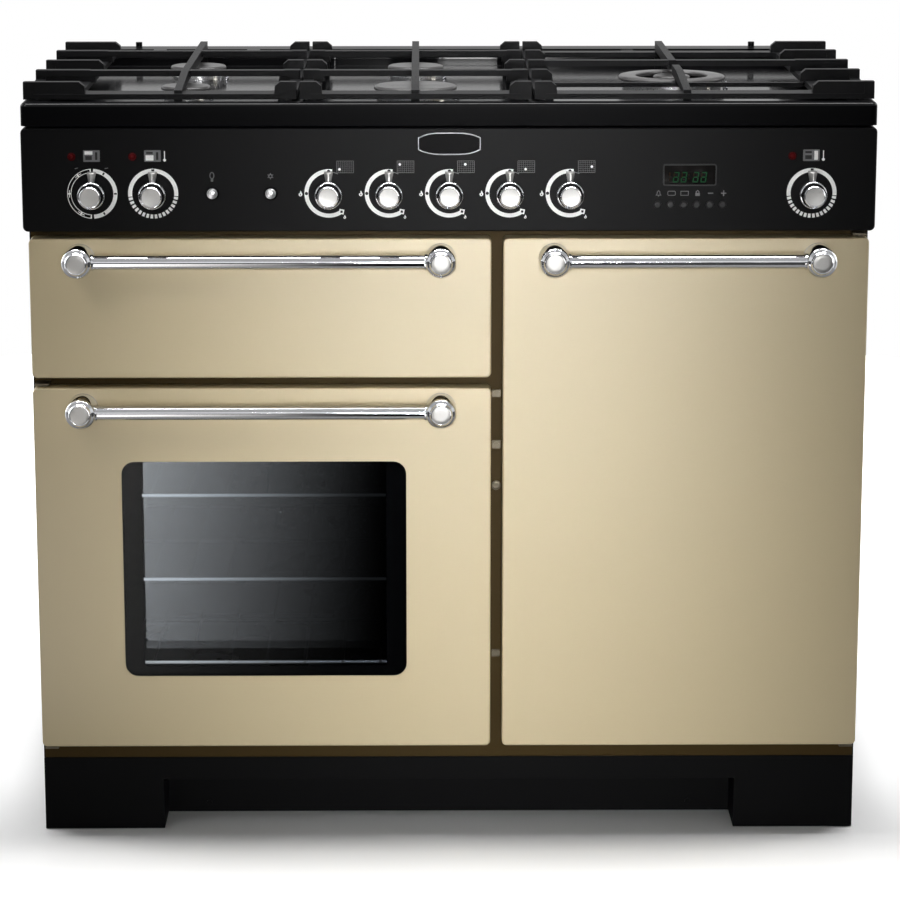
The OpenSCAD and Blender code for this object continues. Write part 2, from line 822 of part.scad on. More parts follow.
// Neck in front of a housing that reaches the back of the panel
module housing_neck(x) {
    difference() {
        rod_y(x, panel_in, valve_y, knob_z, 9);
        rod_y(x, panel_in - 1, valve_y + 1, knob_z, spindle_r + 1.5);
    }
}

module control_electrics() {
    z0 = panel_z + clock_up;
    clock_x1 = clock_x + clock_w;
    buttons_x1 = clock_button_x + 5 * clock_button_pitch + 9;
    buttons_z = panel_z + clock_button_up;
    color(soft_black) {
        for (x = [grill_knob_x, left_knob_x, right_knob_x])
            union() {
                spindle_housing(x, 18);
                housing_neck(x);
            }
        for (x = [light_button_x, spark_button_x])
            union() {
                difference() {
                    box(x - 9, x + 9, switch_y, switch_y + 14, knob_z - 9, knob_z + 9);
                    rod_y(x, switch_y - 1, switch_y + 11, knob_z, 1.5 + fit_clear);
                }
                for (s = [-1, 1])
                    box(x + s * 9 - 1, x + s * 9 + 1, panel_in, switch_y + 14,
                        knob_z - 9, knob_z + 9);
            }
        difference() {
            union() {
                box(clock_x - 14, buttons_x1, clock_face, panel_in + 32, buttons_z - 9, z0 + clock_h + 4);
                box(clock_x - 4, clock_x1 + 4, panel_in, clock_face + 1, z0 - 4, z0 + clock_h + 4);
            }
            for (i = [0:5])
                rod_y(clock_button_x + i * clock_button_pitch, clock_face - 1, clock_face + 8,
                    buttons_z, 1.5 + fit_clear);
        }
    }
    color([0.05, 0.08, 0.06])
        box(clock_x + 0.1, clock_x1 - 0.1, front_y + 0.4, panel_in, z0 + 0.1, z0 + clock_h - 0.1);
}

// Tube through a list of points, with an elbow at each inner point
module tube_run(points, r) {
    for (i = [0:len(points) - 2])
        let (a = points[i], d = points[i + 1] - a)
            translate(a)
                rotate([0, acos(d[2] / norm(d)), atan2(d[1], d[0])])
                    cylinder(h = norm(d), r = r);
    for (i = [1:1:len(points) - 2])
        translate(points[i])
            sphere(r = r * 1.4);
}

module gas_rail() {
    rail_y = front_y + gas_back;
    inlet_x = side_x - inlet_side;
    feeds = [for (i = [0:3]) [burners[i][0], row_y(burners[i][1])]];
    targets = concat(feeds, [[burner_wok_x, row_y(wok_row)]]);
    color([0.72, 0.6, 0.3]) {
        difference() {
            union() {
                rod_x(hob_knob_x[0] - 20, inlet_x, rail_y, knob_z, gas_r);
                rod_y(inlet_x, rail_y, back_y + sheet_t + 2, knob_z, gas_r);
                translate([inlet_x, rail_y, knob_z])
                    sphere(r = gas_r * 1.3);
                rod_y(inlet_x, back_y + sheet_t + 2, back_y + sheet_t + 2 + inlet_l,
                    knob_z, inlet_r);
                for (x = hob_knob_x)
                    box(x - 13, x + 13, valve_y, rail_y, knob_z - 14, knob_z + 14);
                for (x = hob_knob_x)
                    rod_y(x, panel_in, valve_y + 1, knob_z, 9);
            }
            for (x = hob_knob_x)
                rod_y(x, valve_y - 1, spindle_end + 2, knob_z, spindle_r + fit_clear);
            for (x = hob_knob_x)
                rod_y(x, panel_in - 1, valve_y, knob_z, spindle_r + 1.5);
            rod_y(inlet_x, back_y + sheet_t + 4, rear_y + 1, knob_z, gas_r - 2);
        }
        for (i = [0:4])
            let (x = hob_knob_x[i], t = targets[i], y = rail_y - 22,
                z = well_z - (i == 3 ? 34 : 49), s = t[0] > x ? -1 : 1)
                tube_run([[x, y, knob_z + 14], [x, y, z], [x, t[1], z],
                    [t[0] + s * (mixer_r + clear), t[1], z]], feed_r);
    }
}

module grill_liner() {
    color(enamel_grey)
        liner(grill_cavity, grill_back);
}

module left_oven_liner() {
    color(enamel_grey)
        difference() {
            liner(left_cavity, oven_back);
            rod_y(left_fan_x, oven_back - 1, oven_back + sheet_t + 1, left_fan_z, 6);
        }
}

module right_oven_liner() {
    color(enamel_grey)
        difference() {
            liner(right_cavity, oven_back);
            rod_y(right_fan_x, oven_back - 1, oven_back + sheet_t + 1, right_fan_z, 6);
        }
}

left_shelves = [for (i = [0:2]) left_cavity[2] + left_shelf_low + i * left_shelf_pitch];
right_shelves = [for (i = [0:1]) right_cavity[2] + right_shelf_low + i * right_shelf_pitch];
grill_pan_z = grill_cavity[2] + 18;
runner_y1 = shelf_y + shelf_len;

// Runner rails and posts on both walls of one cavity
module rack(c, levels) {
    for (s = [-1, 1]) {
        wall = s < 0 ? c[0] : c[1];
        union() {
            for (z = levels)
                box(s < 0 ? wall : wall - runner_w, s < 0 ? wall + runner_w : wall,
                    shelf_y, runner_y1, z - 5 - clear, z - clear);
            for (y = [shelf_y + 30, (shelf_y + runner_y1) / 2, runner_y1 - 30])
                box(s < 0 ? wall : wall - 3, s < 0 ? wall + 3 : wall, y - 4, y + 4,
                    min(levels) - 30, max(levels) + 24);
        }
    }
}

module shelf_racks() {
    color(chrome) {
        rack(left_cavity, [for (z = left_shelves) z - frame_wire_r]);
        rack(right_cavity, [for (z = right_shelves) z - frame_wire_r]);
    }
    color(chrome)
        for (s = [-1, 1]) {
            wall = s < 0 ? grill_cavity[0] : grill_cavity[1];
            box(s < 0 ? wall : wall - runner_w, s < 0 ? wall + runner_w : wall,
                shelf_y, runner_y1, grill_pan_z - 5 - clear, grill_pan_z - clear);
        }
}

// Ring element round a fan, with two legs to the rear wall
module ring_element(x, z) {
    y = oven_back - 22;
    translate([x, y, z])
        rotate([90, 0, 0])
            rotate_extrude()
                translate([ring_r, 0])
                    circle(r = rod_r);
    for (s = [-1, 1])
        rod_y(x + s * 10, y, oven_back, z + ring_r * cos(asin(10 / ring_r)), rod_r - 0.5);
}

module heating_elements() {
    z = grill_cavity[3] - grill_rod_drop;
    x0 = grill_cavity[0] + grill_rod_side;
    x1 = grill_cavity[1] - grill_rod_side;
    y0 = shelf_y + 20;
    y1 = grill_back - 40;
    step = (y1 - y0) / 5;
    color([0.25, 0.22, 0.2]) {
        ring_element(left_fan_x, left_fan_z);
        ring_element(right_fan_x, right_fan_z);
        // Grill element: hairpin rods hung from the cavity roof
        union() {
            for (k = [0:5])
                rod_x(x0, x1, y0 + k * step, z, rod_r);
            for (k = [0:4])
                rod_y(k % 2 == 0 ? x1 : x0, y0 + k * step, y0 + (k + 1) * step, z, rod_r - 0.4);
            for (k = [0:4], e = [0, 1])
                translate([k % 2 == 0 ? x1 : x0, y0 + (k + e) * step, z])
                    sphere(r = rod_r * 1.3);
            for (x = [x0 + 60, x1 - 60], k = [0, 5])
                rod_z(x, y0 + k * step, z, grill_cavity[3], rod_r - 1);
        }
    }
}

// Fan cover on four spacers, and the motor behind the oven's rear wall
module fan_housing(x, z) {
    holes = 20;
    color(enamel_grey)
        difference() {
            union() {
                box(x - cover_half, x + cover_half, cover_y, cover_y + cover_t,
                    z - cover_half, z + cover_half);
                for (sx = [-1, 1], sz = [-1, 1])
                    rod_y(x + sx * (cover_half - 10), cover_y, oven_back,
                        z + sz * (cover_half - 10), 4);
            }
            for (k = [0:holes - 1])
                rod_y(x + 58 * cos(360 * k / holes), cover_y - 1, cover_y + cover_t + 1,
                    z + 58 * sin(360 * k / holes), 5);
            for (k = [0:11])
                rod_y(x + 34 * cos(30 * k), cover_y - 1, cover_y + cover_t + 1,
                    z + 34 * sin(30 * k), 5);
        }
    color(steel)
        difference() {
            rod_y(x, oven_back + sheet_t, oven_back + sheet_t + motor_l, z, motor_r);
            rod_y(x, oven_back, oven_back + sheet_t + 30, z, 4 + fit_clear);
        }
}

module fan_housings() {
    fan_housing(left_fan_x, left_fan_z);
    fan_housing(right_fan_x, right_fan_z);
}

module seal(c) {
    a = 1;
    b = a + seal_w;
    difference() {
        slab_y(round_rect(c[0] - b, c[2] - b, c[1] + b, c[3] + b, 8), frame_y - door_stand + clear,
            frame_y);
        slab_y(round_rect(c[0] - a, c[2] - a, c[1] + a, c[3] + a, 4), frame_y - door_stand - 1,
            frame_y + 1);
    }
}

module door_seals() {
    color([0.3, 0.3, 0.3]) {
        seal(left_cavity);
        seal(right_cavity);
        seal(grill_cavity);
    }
}

// Bracket plate on the front frame with an upright pin towards its door
module upright_hinge(x, z_door, up) {
    z0 = up > 0 ? z_door - 3 - bracket_t : z_door + 1.5;
    tip = up > 0 ? z_door + hinge_pin_in : z_door - hinge_pin_in;
    union() {
        box(x - 8, x + 8, pin_y - 7, frame_y, z0, z0 + bracket_t);
        rod_z(x, pin_y, min(z0 + 0.5, tip), max(z0 + bracket_t - 0.5, tip), hinge_pin_r);
    }
}

// Eye on an arm, for the pin of the drop-down grill door
module grill_hinge_eye(x) {
    difference() {
        union() {
            rod_x(x - grill_eye_t / 2, x + grill_eye_t / 2, grill_axis_y, grill_axis_z,
                grill_eye_r);
            box(x - grill_eye_t / 2, x + grill_eye_t / 2, grill_axis_y, frame_y,
                grill_axis_z - 4.5, grill_axis_z + 4.5);
        }
        rod_x(x - grill_eye_t, x + grill_eye_t, grill_axis_y, grill_axis_z,
            grill_pin_r + fit_clear);
    }
}

module door_fittings() {
    catch_y = frame_y - door_stand + clear;
    catch_z = left_door_top - catch_drop;
    grill_catch_z = doors_top - grill_catch_drop;
    color(steel) {
        upright_hinge(-pin_x, left_door_top, -1);
        upright_hinge(-pin_x, door_z, 1);
        upright_hinge(pin_x, doors_top, -1);
        upright_hinge(pin_x, door_z, 1);
        for (x = grill_hinges)
            grill_hinge_eye(x);
        // Catches behind the free edges of the doors
        for (x = [left_edge - catch_in - catch_w, right_edge + catch_in])
            box(x, x + catch_w, catch_y, frame_y, catch_z - catch_l / 2, catch_z + catch_l / 2);
        box(left_edge - catch_in - catch_w, left_edge - catch_in, catch_y, frame_y,
            grill_catch_z - catch_l / 3, grill_catch_z + catch_l / 3);
    }
    // Screws of the frame in the gap between the doors
    color(soft_black)
        for (drop = frame_screws)
            rod_y(split_x, frame_y - 3, frame_y, left_door_top - drop, frame_screw_r);
}

module plinth() {
    y0 = door_y + plinth_setback;
    t = 2;
    x1 = side_x;
    xi = side_x - plinth_end_w;
    color(black)
        union() {
            box(-x1, x1, y0, y0 + t, recess_h, plinth_h);
            box(-xi - t, xi + t, y0, y0 + recess_d, recess_h, recess_h + t);
            box(-xi - t, xi + t, y0 + recess_d - t, y0 + recess_d, plinth_lift, recess_h + t);
            for (s = [-1, 1]) {
                box(s > 0 ? xi : -x1, s > 0 ? x1 : -xi, y0, y0 + t, plinth_lift, recess_h + t);
                box(s > 0 ? xi : -xi - t, s > 0 ? xi + t : -xi, y0, y0 + recess_d,
                    plinth_lift, recess_h + t);
                box(s > 0 ? x1 - t : -x1, s > 0 ? x1 : -x1 + t, y0, rear_y,
                    plinth_lift, plinth_h);
            }
            for (s = [-1, 1])
                rod_y(s * (xi - 51), y0 + recess_d - t - 1.6, y0 + recess_d - t, 12.7, 3.5);
        }
}

module feet() {
    x = side_x - foot_side;
    color(steel)
        for (sx = [-1, 1], y = [frame_back + 45, back_y - 40])
            union() {
                rod_z(sx * x, y, 0, pad_h, pad_r);
                rod_z(sx * x, y, pad_h - 1, plinth_h, 6);
                rod_z(sx * x, y, plinth_h - 12, plinth_h, 14);
            }
}

module grill_door() {
    x0 = -door_edge;
    x1 = left_edge;
    back = door_back - inner_t;
    notch = grill_eye_t / 2 + 1;
    low = grill_axis_z + grill_eye_r + 2;
    color(cream) {
        difference() {
            union() {
                tray(x0, x1, grill_z, doors_top, door_y, door_back, door_skin);
                for (x = grill_hinges, s = [-1, 1])
                    box(x + s * (notch + 3.5) - 3.5, x + s * (notch + 3.5) + 3.5,
                        door_y + door_skin - 0.5, back, grill_z + door_skin - 0.5, low + 6);
            }
            for (x = grill_hinges)
                box(x - notch, x + notch, grill_axis_y - grill_eye_r - 0.8, door_back + 1,
                    grill_z - 1, low);
        }
        for (x = grill_hinges)
            rod_x(x - notch, x + notch, grill_axis_y, grill_axis_z, grill_pin_r);
    }
    color(soft_black)
        difference() {
            slab_y(round_rect(x0 + door_skin, grill_z + door_skin, x1 - door_skin,
                doors_top - door_skin, door_corner - door_skin), back, door_back);
            for (x = grill_hinges)
                box(x - notch, x + notch, back - 1, door_back + 1, grill_z - 1, low);
        }
}

// Two bosses on the door face and the bar between them
module handle(x0, x1, z) {
    r = boss_d / 2;
    rf = boss_face_d / 2;
    color(chrome)
        union() {
            for (x = [x0, x1])
                turned(x, door_y, z, [[0, 0], [r, 0], [r, handle_reach - 6],
                    [r - 1.2, handle_reach - 3], [rf + 1, handle_reach - 1.2],
                    [rf, handle_reach], [0, handle_reach]]);
            rod_x(x0, x1, door_y - bar_out, z, bar_d / 2);
        }
}

module grill_door_handle() {
    handle(-door_edge + boss_inset, left_edge - boss_inset, doors_top - boss_drop);
}

// Outer skin of a side-hinged door, with a block and a bore for each hinge pin
module side_door(x0, x1, z0, z1, axis_x) {
    s = axis_x < 0 ? 1 : -1;
    edge = axis_x < 0 ? x0 : x1;
    block_h = hinge_pin_in + 6;
    near = edge + s * (door_skin - 0.5);
    far = edge + s * (hinge_side * 2 + 2);
    difference() {
        union() {
            tray(x0, x1, z0, z1, door_y, door_back, door_skin);
            for (z = [z0 + door_skin - 0.5, z1 - door_skin + 0.5 - block_h])
                box(min(near, far), max(near, far), door_y + door_skin - 0.5,
                    door_back - inner_t, z, z + block_h);
        }
        rod_z(axis_x, pin_y, z0 - 1, z0 + hinge_pin_in + 1.5, hinge_pin_r + fit_clear);
        rod_z(axis_x, pin_y, z1 - hinge_pin_in - 1.5, z1 + 1, hinge_pin_r + fit_clear);
    }
}

module left_door() {
    color(cream)
        difference() {
            side_door(-door_edge, left_edge, door_z, left_door_top, -pin_x);
            slab_y(round_rect(window_x, window_z, window_x + window_w, window_z + window_h,
                window_r), door_y - 1, door_y + door_skin + 1);
        }
}

// Inner sheet that closes a door's back, inside its folded edges
module inner_sheet(x0, x1, z0, z1) {
    slab_y(round_rect(x0 + door_skin, z0 + door_skin, x1 - door_skin, z1 - door_skin,
        door_corner - door_skin), door_back - inner_t, door_back);
}

module left_door_inner() {
    color(soft_black)
        difference() {
            inner_sheet(-door_edge, left_edge, door_z, left_door_top);
            slab_y(round_rect(window_x, window_z, window_x + window_w, window_z + window_h,
                window_r), door_back - inner_t - 1, door_back + 1);
        }
}

module left_door_glass() {
    x1 = window_x + window_w;
    z1 = window_z + window_h;
    y = door_y + door_skin;
    color([0.06, 0.06, 0.07, 0.6]) {
        union() {
            slab_y(round_rect(window_x + 0.2, window_z + 0.2, x1 - 0.2, z1 - 0.2, window_r - 0.2),
                door_y + 0.5, y + 0.5);
            slab_y(round_rect(window_x - pane_lap, window_z - pane_lap, x1 + pane_lap,
                z1 + pane_lap, window_r), y, y + pane_t);
        }
        slab_y(round_rect(window_x - pane_lap, window_z - pane_lap, x1 + pane_lap,
            z1 + pane_lap, window_r), door_back - inner_t - pane_t, door_back - inner_t);
    }
}

module left_door_handle() {
    handle(-door_edge + boss_inset, left_edge - boss_inset, left_door_top - boss_drop);
}

module right_door() {
    color(cream)
        side_door(right_edge, door_edge, door_z, doors_top, pin_x);
}

module right_door_inner() {
    color(soft_black)
        inner_sheet(right_edge, door_edge, door_z, doors_top);
}

module right_door_handle() {
    handle(right_edge + boss_inset, door_edge - boss_inset, doors_top - boss_drop);
}

// Turned knob with a pointer at twelve o'clock and its spindle
module knob(x) {
    s = knob_stand;
    r = knob_collar_r;
    f = knob_face_r;
    c = s + knob_collar_l;
    color(chrome)
        union() {
            turned(x, front_y, knob_z, [[0, s], [r, s], [r, c - 3], [r - 1, c - 0.8],
                [r - 2.5, c], [f + 1.2, knob_out - 2.5], [f + 0.6, knob_out - 0.8],
                [f - 0.6, knob_out], [0, knob_out]]);
            slab_y([[x - pointer_w * 0.3, knob_z + 4], [x + pointer_w * 0.3, knob_z + 4],
                [x + pointer_w / 2, knob_z + pointer_reach - 1.5],
                [x + pointer_w / 2 - 1.5, knob_z + pointer_reach],
                [x - pointer_w / 2 + 1.5, knob_z + pointer_reach],
                [x - pointer_w / 2, knob_z + pointer_reach - 1.5]],
                front_y - s - 13, front_y - s - 1);
            rod_y(x, front_y - s - 1, spindle_end, knob_z, spindle_r);
        }
}

module push_button(x) {
    color(chrome)
        union() {
            rod_y(x, front_y - 4.5, panel_in + clear + 1.5, knob_z, button_r);
            rod_y(x, panel_in + clear, panel_in + clear + 1.5, knob_z, button_r + 1.5);
            rod_y(x, panel_in + clear + 1, switch_y + 6, knob_z, 1.5);
        }
}

module clock_button(i) {
    x = clock_button_x + i * clock_button_pitch;
    z = panel_z + clock_button_up;
    color(soft_black)
        union() {
            rod_y(x, front_y - 1.9, panel_in + clear + 1, z, clock_button_r);
            rod_y(x, panel_in + clear, panel_in + clear + 1, z, clock_button_r + 1.2);
            rod_y(x, panel_in + clear + 0.5, clock_face + 4, z, 1.5);
        }
}

// Side rail outline in Y and Z: a block at each row, with shallow saddles between them
function rail_outline() =
    let (h = block_w / 2, steps = 6)
    concat([[support_y0, rail_low]],
        [for (i = [0:4]) each concat(
            [[row_y(i) - h, rail_top + 2], [row_y(i) - h + 1, support_top - 1],
            [row_y(i) - h + 2, support_top], [row_y(i) + h - 3, support_top],
            [row_y(i) + h - 1, support_top - 3]],
            i < 4 ? [for (k = [0:steps])
                [row_y(i) + h + k * (row_y(i + 1) - row_y(i) - 2 * h - 1) / steps,
                rail_top + 3 - 3 * sin(180 * k / steps)]] : [])],
        [[support_y1, rail_top], [support_y1, rail_low]]);

// Block that points inwards from a side rail; s is the direction it points in
module block(edge, s, len, i) {
    h = block_w / 2;
    a = edge;
    b = edge + s * len;
    slab_y([[a, rail_top - 1], [a, support_top], [b - s * 6, support_top], [b, support_top - 5],
        [b + s, rail_top - 1]], row_y(i) - h + 1, row_y(i) + h - 1);
}

// Bar along the support
module spine(x, y0, y1) {
    box(x - grate_bar / 2, x + grate_bar / 2, y0, y1, support_top - grate_bar_h, support_top);
}

// Bar that slopes up from the front rail and then runs level
module front_spine(x, y1) {
    y0 = support_y0 + 4;
    slab_x([[y0, rail_top - 2], [y0 + front_rail - 6, rail_top - 2],
        [row_y(1) - cross_w, support_top - grate_bar_h], [y1, support_top - grate_bar_h],
        [y1, support_top], [row_y(1) - cross_w, support_top], [y0, rail_top + 4]],
        x - grate_bar / 2, x + grate_bar / 2);
}

// One cast support: left and right block lengths, rows with full bars, and the spine
module pan_support(span, len_l, len_r, bars, spine_x) {
    x0 = span[0];
    x1 = span[1];
    // Feet clear of the well's walls and its round corners
    foot_x0 = max(x0 + 5, -half_w + rim_w) + foot_in;
    foot_x1 = min(x1 - 5, half_w - rim_w) - foot_in;
    foot_y0 = max(support_y0 + rail_w / 2, front_y + rim_w + foot_in - 1);
    foot_y1 = support_y1 - rail_w / 2;
    union() {
        for (x = [x0, x1 - rail_w])
            slab_x(rail_outline(), x, x + rail_w);
        difference() {
            box(x0 + 1, x1 - 1, support_y0, support_y1, rail_low, rail_top);
            slab_z(round_rect(x0 + len_l - rail_short, support_y0 + front_rail,
                x1 - len_r + rail_short, support_y1 - rail_w, bay_corner),
                rail_low - 1, rail_top + 1);
        }
        for (i = [0:4]) {
            block(x0 + 1, 1, len_l, i);
            block(x1 - 1, -1, len_r, i);
        }
        for (i = bars)
            box(x0 + 1, x1 - 1, row_y(i) - cross_w / 2, row_y(i) + cross_w / 2,
                support_top - bar_sink - cross_t, support_top - bar_sink);
        for (x = [foot_x0, spine_x, foot_x1], y = [foot_y0, foot_y1])
            rod_z(x, y, well_z + clear, rail_low + 1, support_foot_r);
        box(spine_x - grate_bar / 2, spine_x + grate_bar / 2, support_y1 - rail_w, support_y1,
            rail_top - 1, support_top - grate_bar_h + 1);
    }
}

module left_pan_support() {
    color(iron)
        union() {
            pan_support(support_l, outer_block, inner_block, [1, 3], burner_left_x);
            front_spine(burner_left_x, row_y(1));
            spine(burner_left_x, row_y(1) - 1, support_y1);
        }
}

module centre_pan_support() {
    color(iron)
        union() {
            pan_support(support_c, inner_block, inner_block, [1, 3], burner_centre_x);
            front_spine(burner_centre_x, row_y(1));
            spine(burner_centre_x, row_y(1) - 1, support_y1);
        }
}

module right_pan_support() {
    color(iron)
        union() {
            pan_support(support_r, inner_block, outer_block, [2], burner_wok_x);
            front_spine(burner_wok_x, row_y(2) - 62);
            spine(burner_wok_x, row_y(2) - grate_bar, support_y1);
            // Low bar that carries the end of the front spine
            box(support_r[0] + 1, support_r[1] - 1, row_y(1) - grate_bar / 2,
                row_y(1) + grate_bar / 2, rail_low - 1, rail_low + 4);
            box(burner_wok_x - grate_bar / 2, burner_wok_x + grate_bar / 2,
                row_y(1) - grate_bar / 2, row_y(1) + grate_bar / 2, rail_low + 3,
                support_top - grate_bar_h + 1);
        }
}

// Wire shelf: two side wires, cross wires front and back, and thin wires along it
module shelf(c, z) {
    r = frame_wire_r;
    x0 = c[0] + 8;
    x1 = c[1] - 8;
    mid = (x0 + x1) / 2;
    n = floor((x1 - x0 - 12) / wire_pitch / 2);
    y0 = shelf_y + r;
    y1 = shelf_y + shelf_len - r;
    color(chrome)
        union() {
            for (x = [x0, x1])
                rod_y(x, y0 - r, y1 + r, z, r, $fn = 8);
            for (y = [y0, y1, (y0 + y1) / 2])
                rod_x(x0, x1, y, z, r, $fn = 8);
            for (k = [-n:n])
                rod_y(mid + k * wire_pitch, y0 - r, y1 + r, z + 1, wire_r, $fn = 8);
        }
}

module grill_pan() {
    x0 = grill_cavity[0] + runner_w - 5;
    x1 = grill_cavity[1] - runner_w + 5;
    y0 = shelf_y;
    y1 = shelf_y + shelf_len;
    z = grill_pan_z;
    color(steel)
        difference() {
            box(x0, x1, y0, y1, z, z + pan_h);
            box(x0 + sheet_t, x1 - sheet_t, y0 + sheet_t, y1 - sheet_t, z + sheet_t, z + pan_h + 1);
        }
    color(chrome)
        union() {
            for (y = [y0 + 12, y1 - 12])
                rod_x(x0 + 4, x1 - 4, y, z + sheet_t + 3, 3, $fn = 8);
            for (k = [0:14])
                rod_y(x0 + 8 + k * (x1 - x0 - 16) / 14, y0 + 10, y1 - 10, z + sheet_t + 4,
                    2, $fn = 8);
        }
}

// Fan wheel on its shaft
module fan(x, z) {
    color(steel)
        union() {
            rod_y(x, fan_y + fan_l - 2, fan_y + fan_l, z, fan_r);
            rod_y(x, fan_y, fan_y + fan_l, z, 12);
            for (k = [0:fan_blades - 1])
                translate([x, 0, z])
                    rotate([0, 360 * k / fan_blades, 0])
                        box(fan_r - 34, fan_r - 2, fan_y, fan_y + fan_l - 1, -1, 1);
            rod_y(x, fan_y, oven_back + sheet_t + 28, z, 4);
        }
}

side_panels();
back_panel();
base_pan();
front_frame();
hotplate();
vent_trim();
burner_heads();
burner_caps();
control_panel();
dial_rings();
indicator_lamps();
name_plate();
control_electrics();
gas_rail();
grill_liner();
left_oven_liner();
right_oven_liner();
shelf_racks();
heating_elements();
fan_housings();
door_seals();
door_fittings();
plinth();
feet();
grill_door();
grill_door_handle();
left_door();
left_door_glass();
left_door_inner();
left_door_handle();
right_door();
right_door_inner();
right_door_handle();
knob(grill_knob_x);  // grill_knob
knob(left_knob_x);  // left_oven_knob
knob(hob_knob_x[0]);  // hob_knob_1
knob(hob_knob_x[1]);  // hob_knob_2
knob(hob_knob_x[2]);  // hob_knob_3
knob(hob_knob_x[3]);  // hob_knob_4
knob(hob_knob_x[4]);  // hob_knob_5
knob(right_knob_x);  // right_oven_knob
push_button(light_button_x);  // light_button
push_button(spark_button_x);  // spark_button
clock_button(0);  // clock_button_1
clock_button(1);  // clock_button_2
clock_button(2);  // clock_button_3
clock_button(3);  // clock_button_4
clock_button(4);  // clock_button_5
clock_button(5);  // clock_button_6
left_pan_support();
centre_pan_support();
right_pan_support();
shelf(left_cavity, left_shelves[0]);  // left_shelf_1
shelf(left_cavity, left_shelves[1]);  // left_shelf_2
shelf(left_cavity, left_shelves[2]);  // left_shelf_3
shelf(right_cavity, right_shelves[0]);  // right_shelf_1
shelf(right_cavity, right_shelves[1]);  // right_shelf_2
grill_pan();
fan(left_fan_x, left_fan_z);  // left_fan
fan(right_fan_x, right_fan_z);  // right_fan
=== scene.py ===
"""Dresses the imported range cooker: finishes on its sheet metal and castings, finer knobs,
handles, caps and printed marks, and a plain studio stage with the photograph's view."""

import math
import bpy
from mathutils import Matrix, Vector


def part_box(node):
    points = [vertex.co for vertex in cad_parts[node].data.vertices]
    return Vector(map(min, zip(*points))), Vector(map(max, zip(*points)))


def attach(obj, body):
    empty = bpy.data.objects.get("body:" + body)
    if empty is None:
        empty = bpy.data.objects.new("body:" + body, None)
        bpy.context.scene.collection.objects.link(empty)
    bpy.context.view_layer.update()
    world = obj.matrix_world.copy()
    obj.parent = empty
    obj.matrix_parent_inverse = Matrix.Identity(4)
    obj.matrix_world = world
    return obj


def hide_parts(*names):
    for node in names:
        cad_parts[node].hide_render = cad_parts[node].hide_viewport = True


bl_info = {
    "name": "Range Cooker Finishes",
    "version": (1, 0, 0),
    "blender": (4, 5, 0),
    "location": "3D View > Sidebar > Cooker",
    "description": "Dresses a range cooker with finishes, fine fittings and a studio stage",
    "category": "Object",
}

import bmesh
import bpy
from bpy.props import FloatProperty, FloatVectorProperty, IntProperty, PointerProperty
from mathutils import Vector

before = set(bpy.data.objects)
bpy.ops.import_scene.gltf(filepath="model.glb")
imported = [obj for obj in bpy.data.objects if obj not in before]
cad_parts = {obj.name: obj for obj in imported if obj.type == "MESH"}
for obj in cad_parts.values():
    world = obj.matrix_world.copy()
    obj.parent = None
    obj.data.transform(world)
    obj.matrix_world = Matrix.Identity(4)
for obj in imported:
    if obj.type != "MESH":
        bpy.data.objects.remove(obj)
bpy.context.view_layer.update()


def span(node):
    """Lowest and highest corners of a CAD node, in millimetres."""
    low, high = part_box(node)
    return low * 1000, high * 1000


PANEL_LOW, PANEL_HIGH = span("control_panel")
FACE_Y = PANEL_LOW.y
KNOB_Z = sum(v.z for v in span("light_button")) / 2
PLAN_Z, MAP_Z, SIGN_Z, ICON_Z = 835.4, 822.4, 811, 791  # rows of pictures on the panel
PRINT_ROOT = 0.2  # how far prints reach into the panel
DIGIT_RISE = 0.5  # how far the clock's digits stand over prints
PANE_LAP, PANE_DEPTH = 10.3, 5.4  # rim of the oven window's outer pane, and its thickness
WELL_Z = 884  # floor of the hob's well
WHITE_LIGHT = (1.0, 1.0, 1.0)
UP = (0, 0, 1)
HOB_KNOBS = [f"hob_knob_{i}" for i in range(1, 6)]
KNOBS = ["grill_knob", "left_oven_knob", *HOB_KNOBS, "right_oven_knob"]


def middle(node):
    """X and Z of a CAD node's middle, in millimetres."""
    low, high = span(node)
    return (low.x + high.x) / 2, (low.z + high.z) / 2


def middle_x(node):
    return middle(node)[0]


def tone(red, green, blue):
    """A colour of screen values from 0 to 255 as Blender's linear red, green and blue."""
    parts = [c / 255 for c in (red, green, blue)]
    return tuple(c / 12.92 if c <= 0.04045 else ((c + 0.055) / 1.055) ** 2.4 for c in parts)


def colour(name, description, shade):
    """A colour setting."""
    return FloatVectorProperty(name=name, description=description, default=tone(*shade),
                               subtype="COLOR", min=0.0, max=1.0)


def size(name, description, default, low, high):
    """A size setting, in millimetres."""
    return FloatProperty(name=name, description=description, default=default, min=low, max=high)


def power(name, description, default):
    """A lamp's power setting, in watts."""
    return FloatProperty(name=name, description=description, default=default, subtype="POWER",
                         unit="POWER")


class CookerFinishSettings(bpy.types.PropertyGroup):
    """Colours of the enamels, castings and prints."""

    cream: colour("Door enamel", "Colour of the three doors", (205, 187, 145))
    black: colour("Black enamel", "Colour of the hob, casing and plinth", (8, 8, 9))
    panel: colour("Panel enamel", "Colour of the control panel", (9, 9, 10))
    iron: colour("Cast iron", "Colour of the pan supports", (24, 24, 25))
    cap: colour("Burner caps", "Colour of the caps' matt enamel", (58, 57, 57))
    cavity: colour("Oven enamel", "Colour inside the ovens", (34, 34, 38))
    print_white: colour("White print", "Colour of the dials and marks", (232, 232, 230))
    print_grey: colour("Grey print", "Colour of the fine marks", (112, 112, 113))
    lamp: colour("Lamps", "Colour of the indicator lamps", (84, 6, 9))
    digits: colour("Display digits", "Colour of the clock's digits", (16, 48, 28))


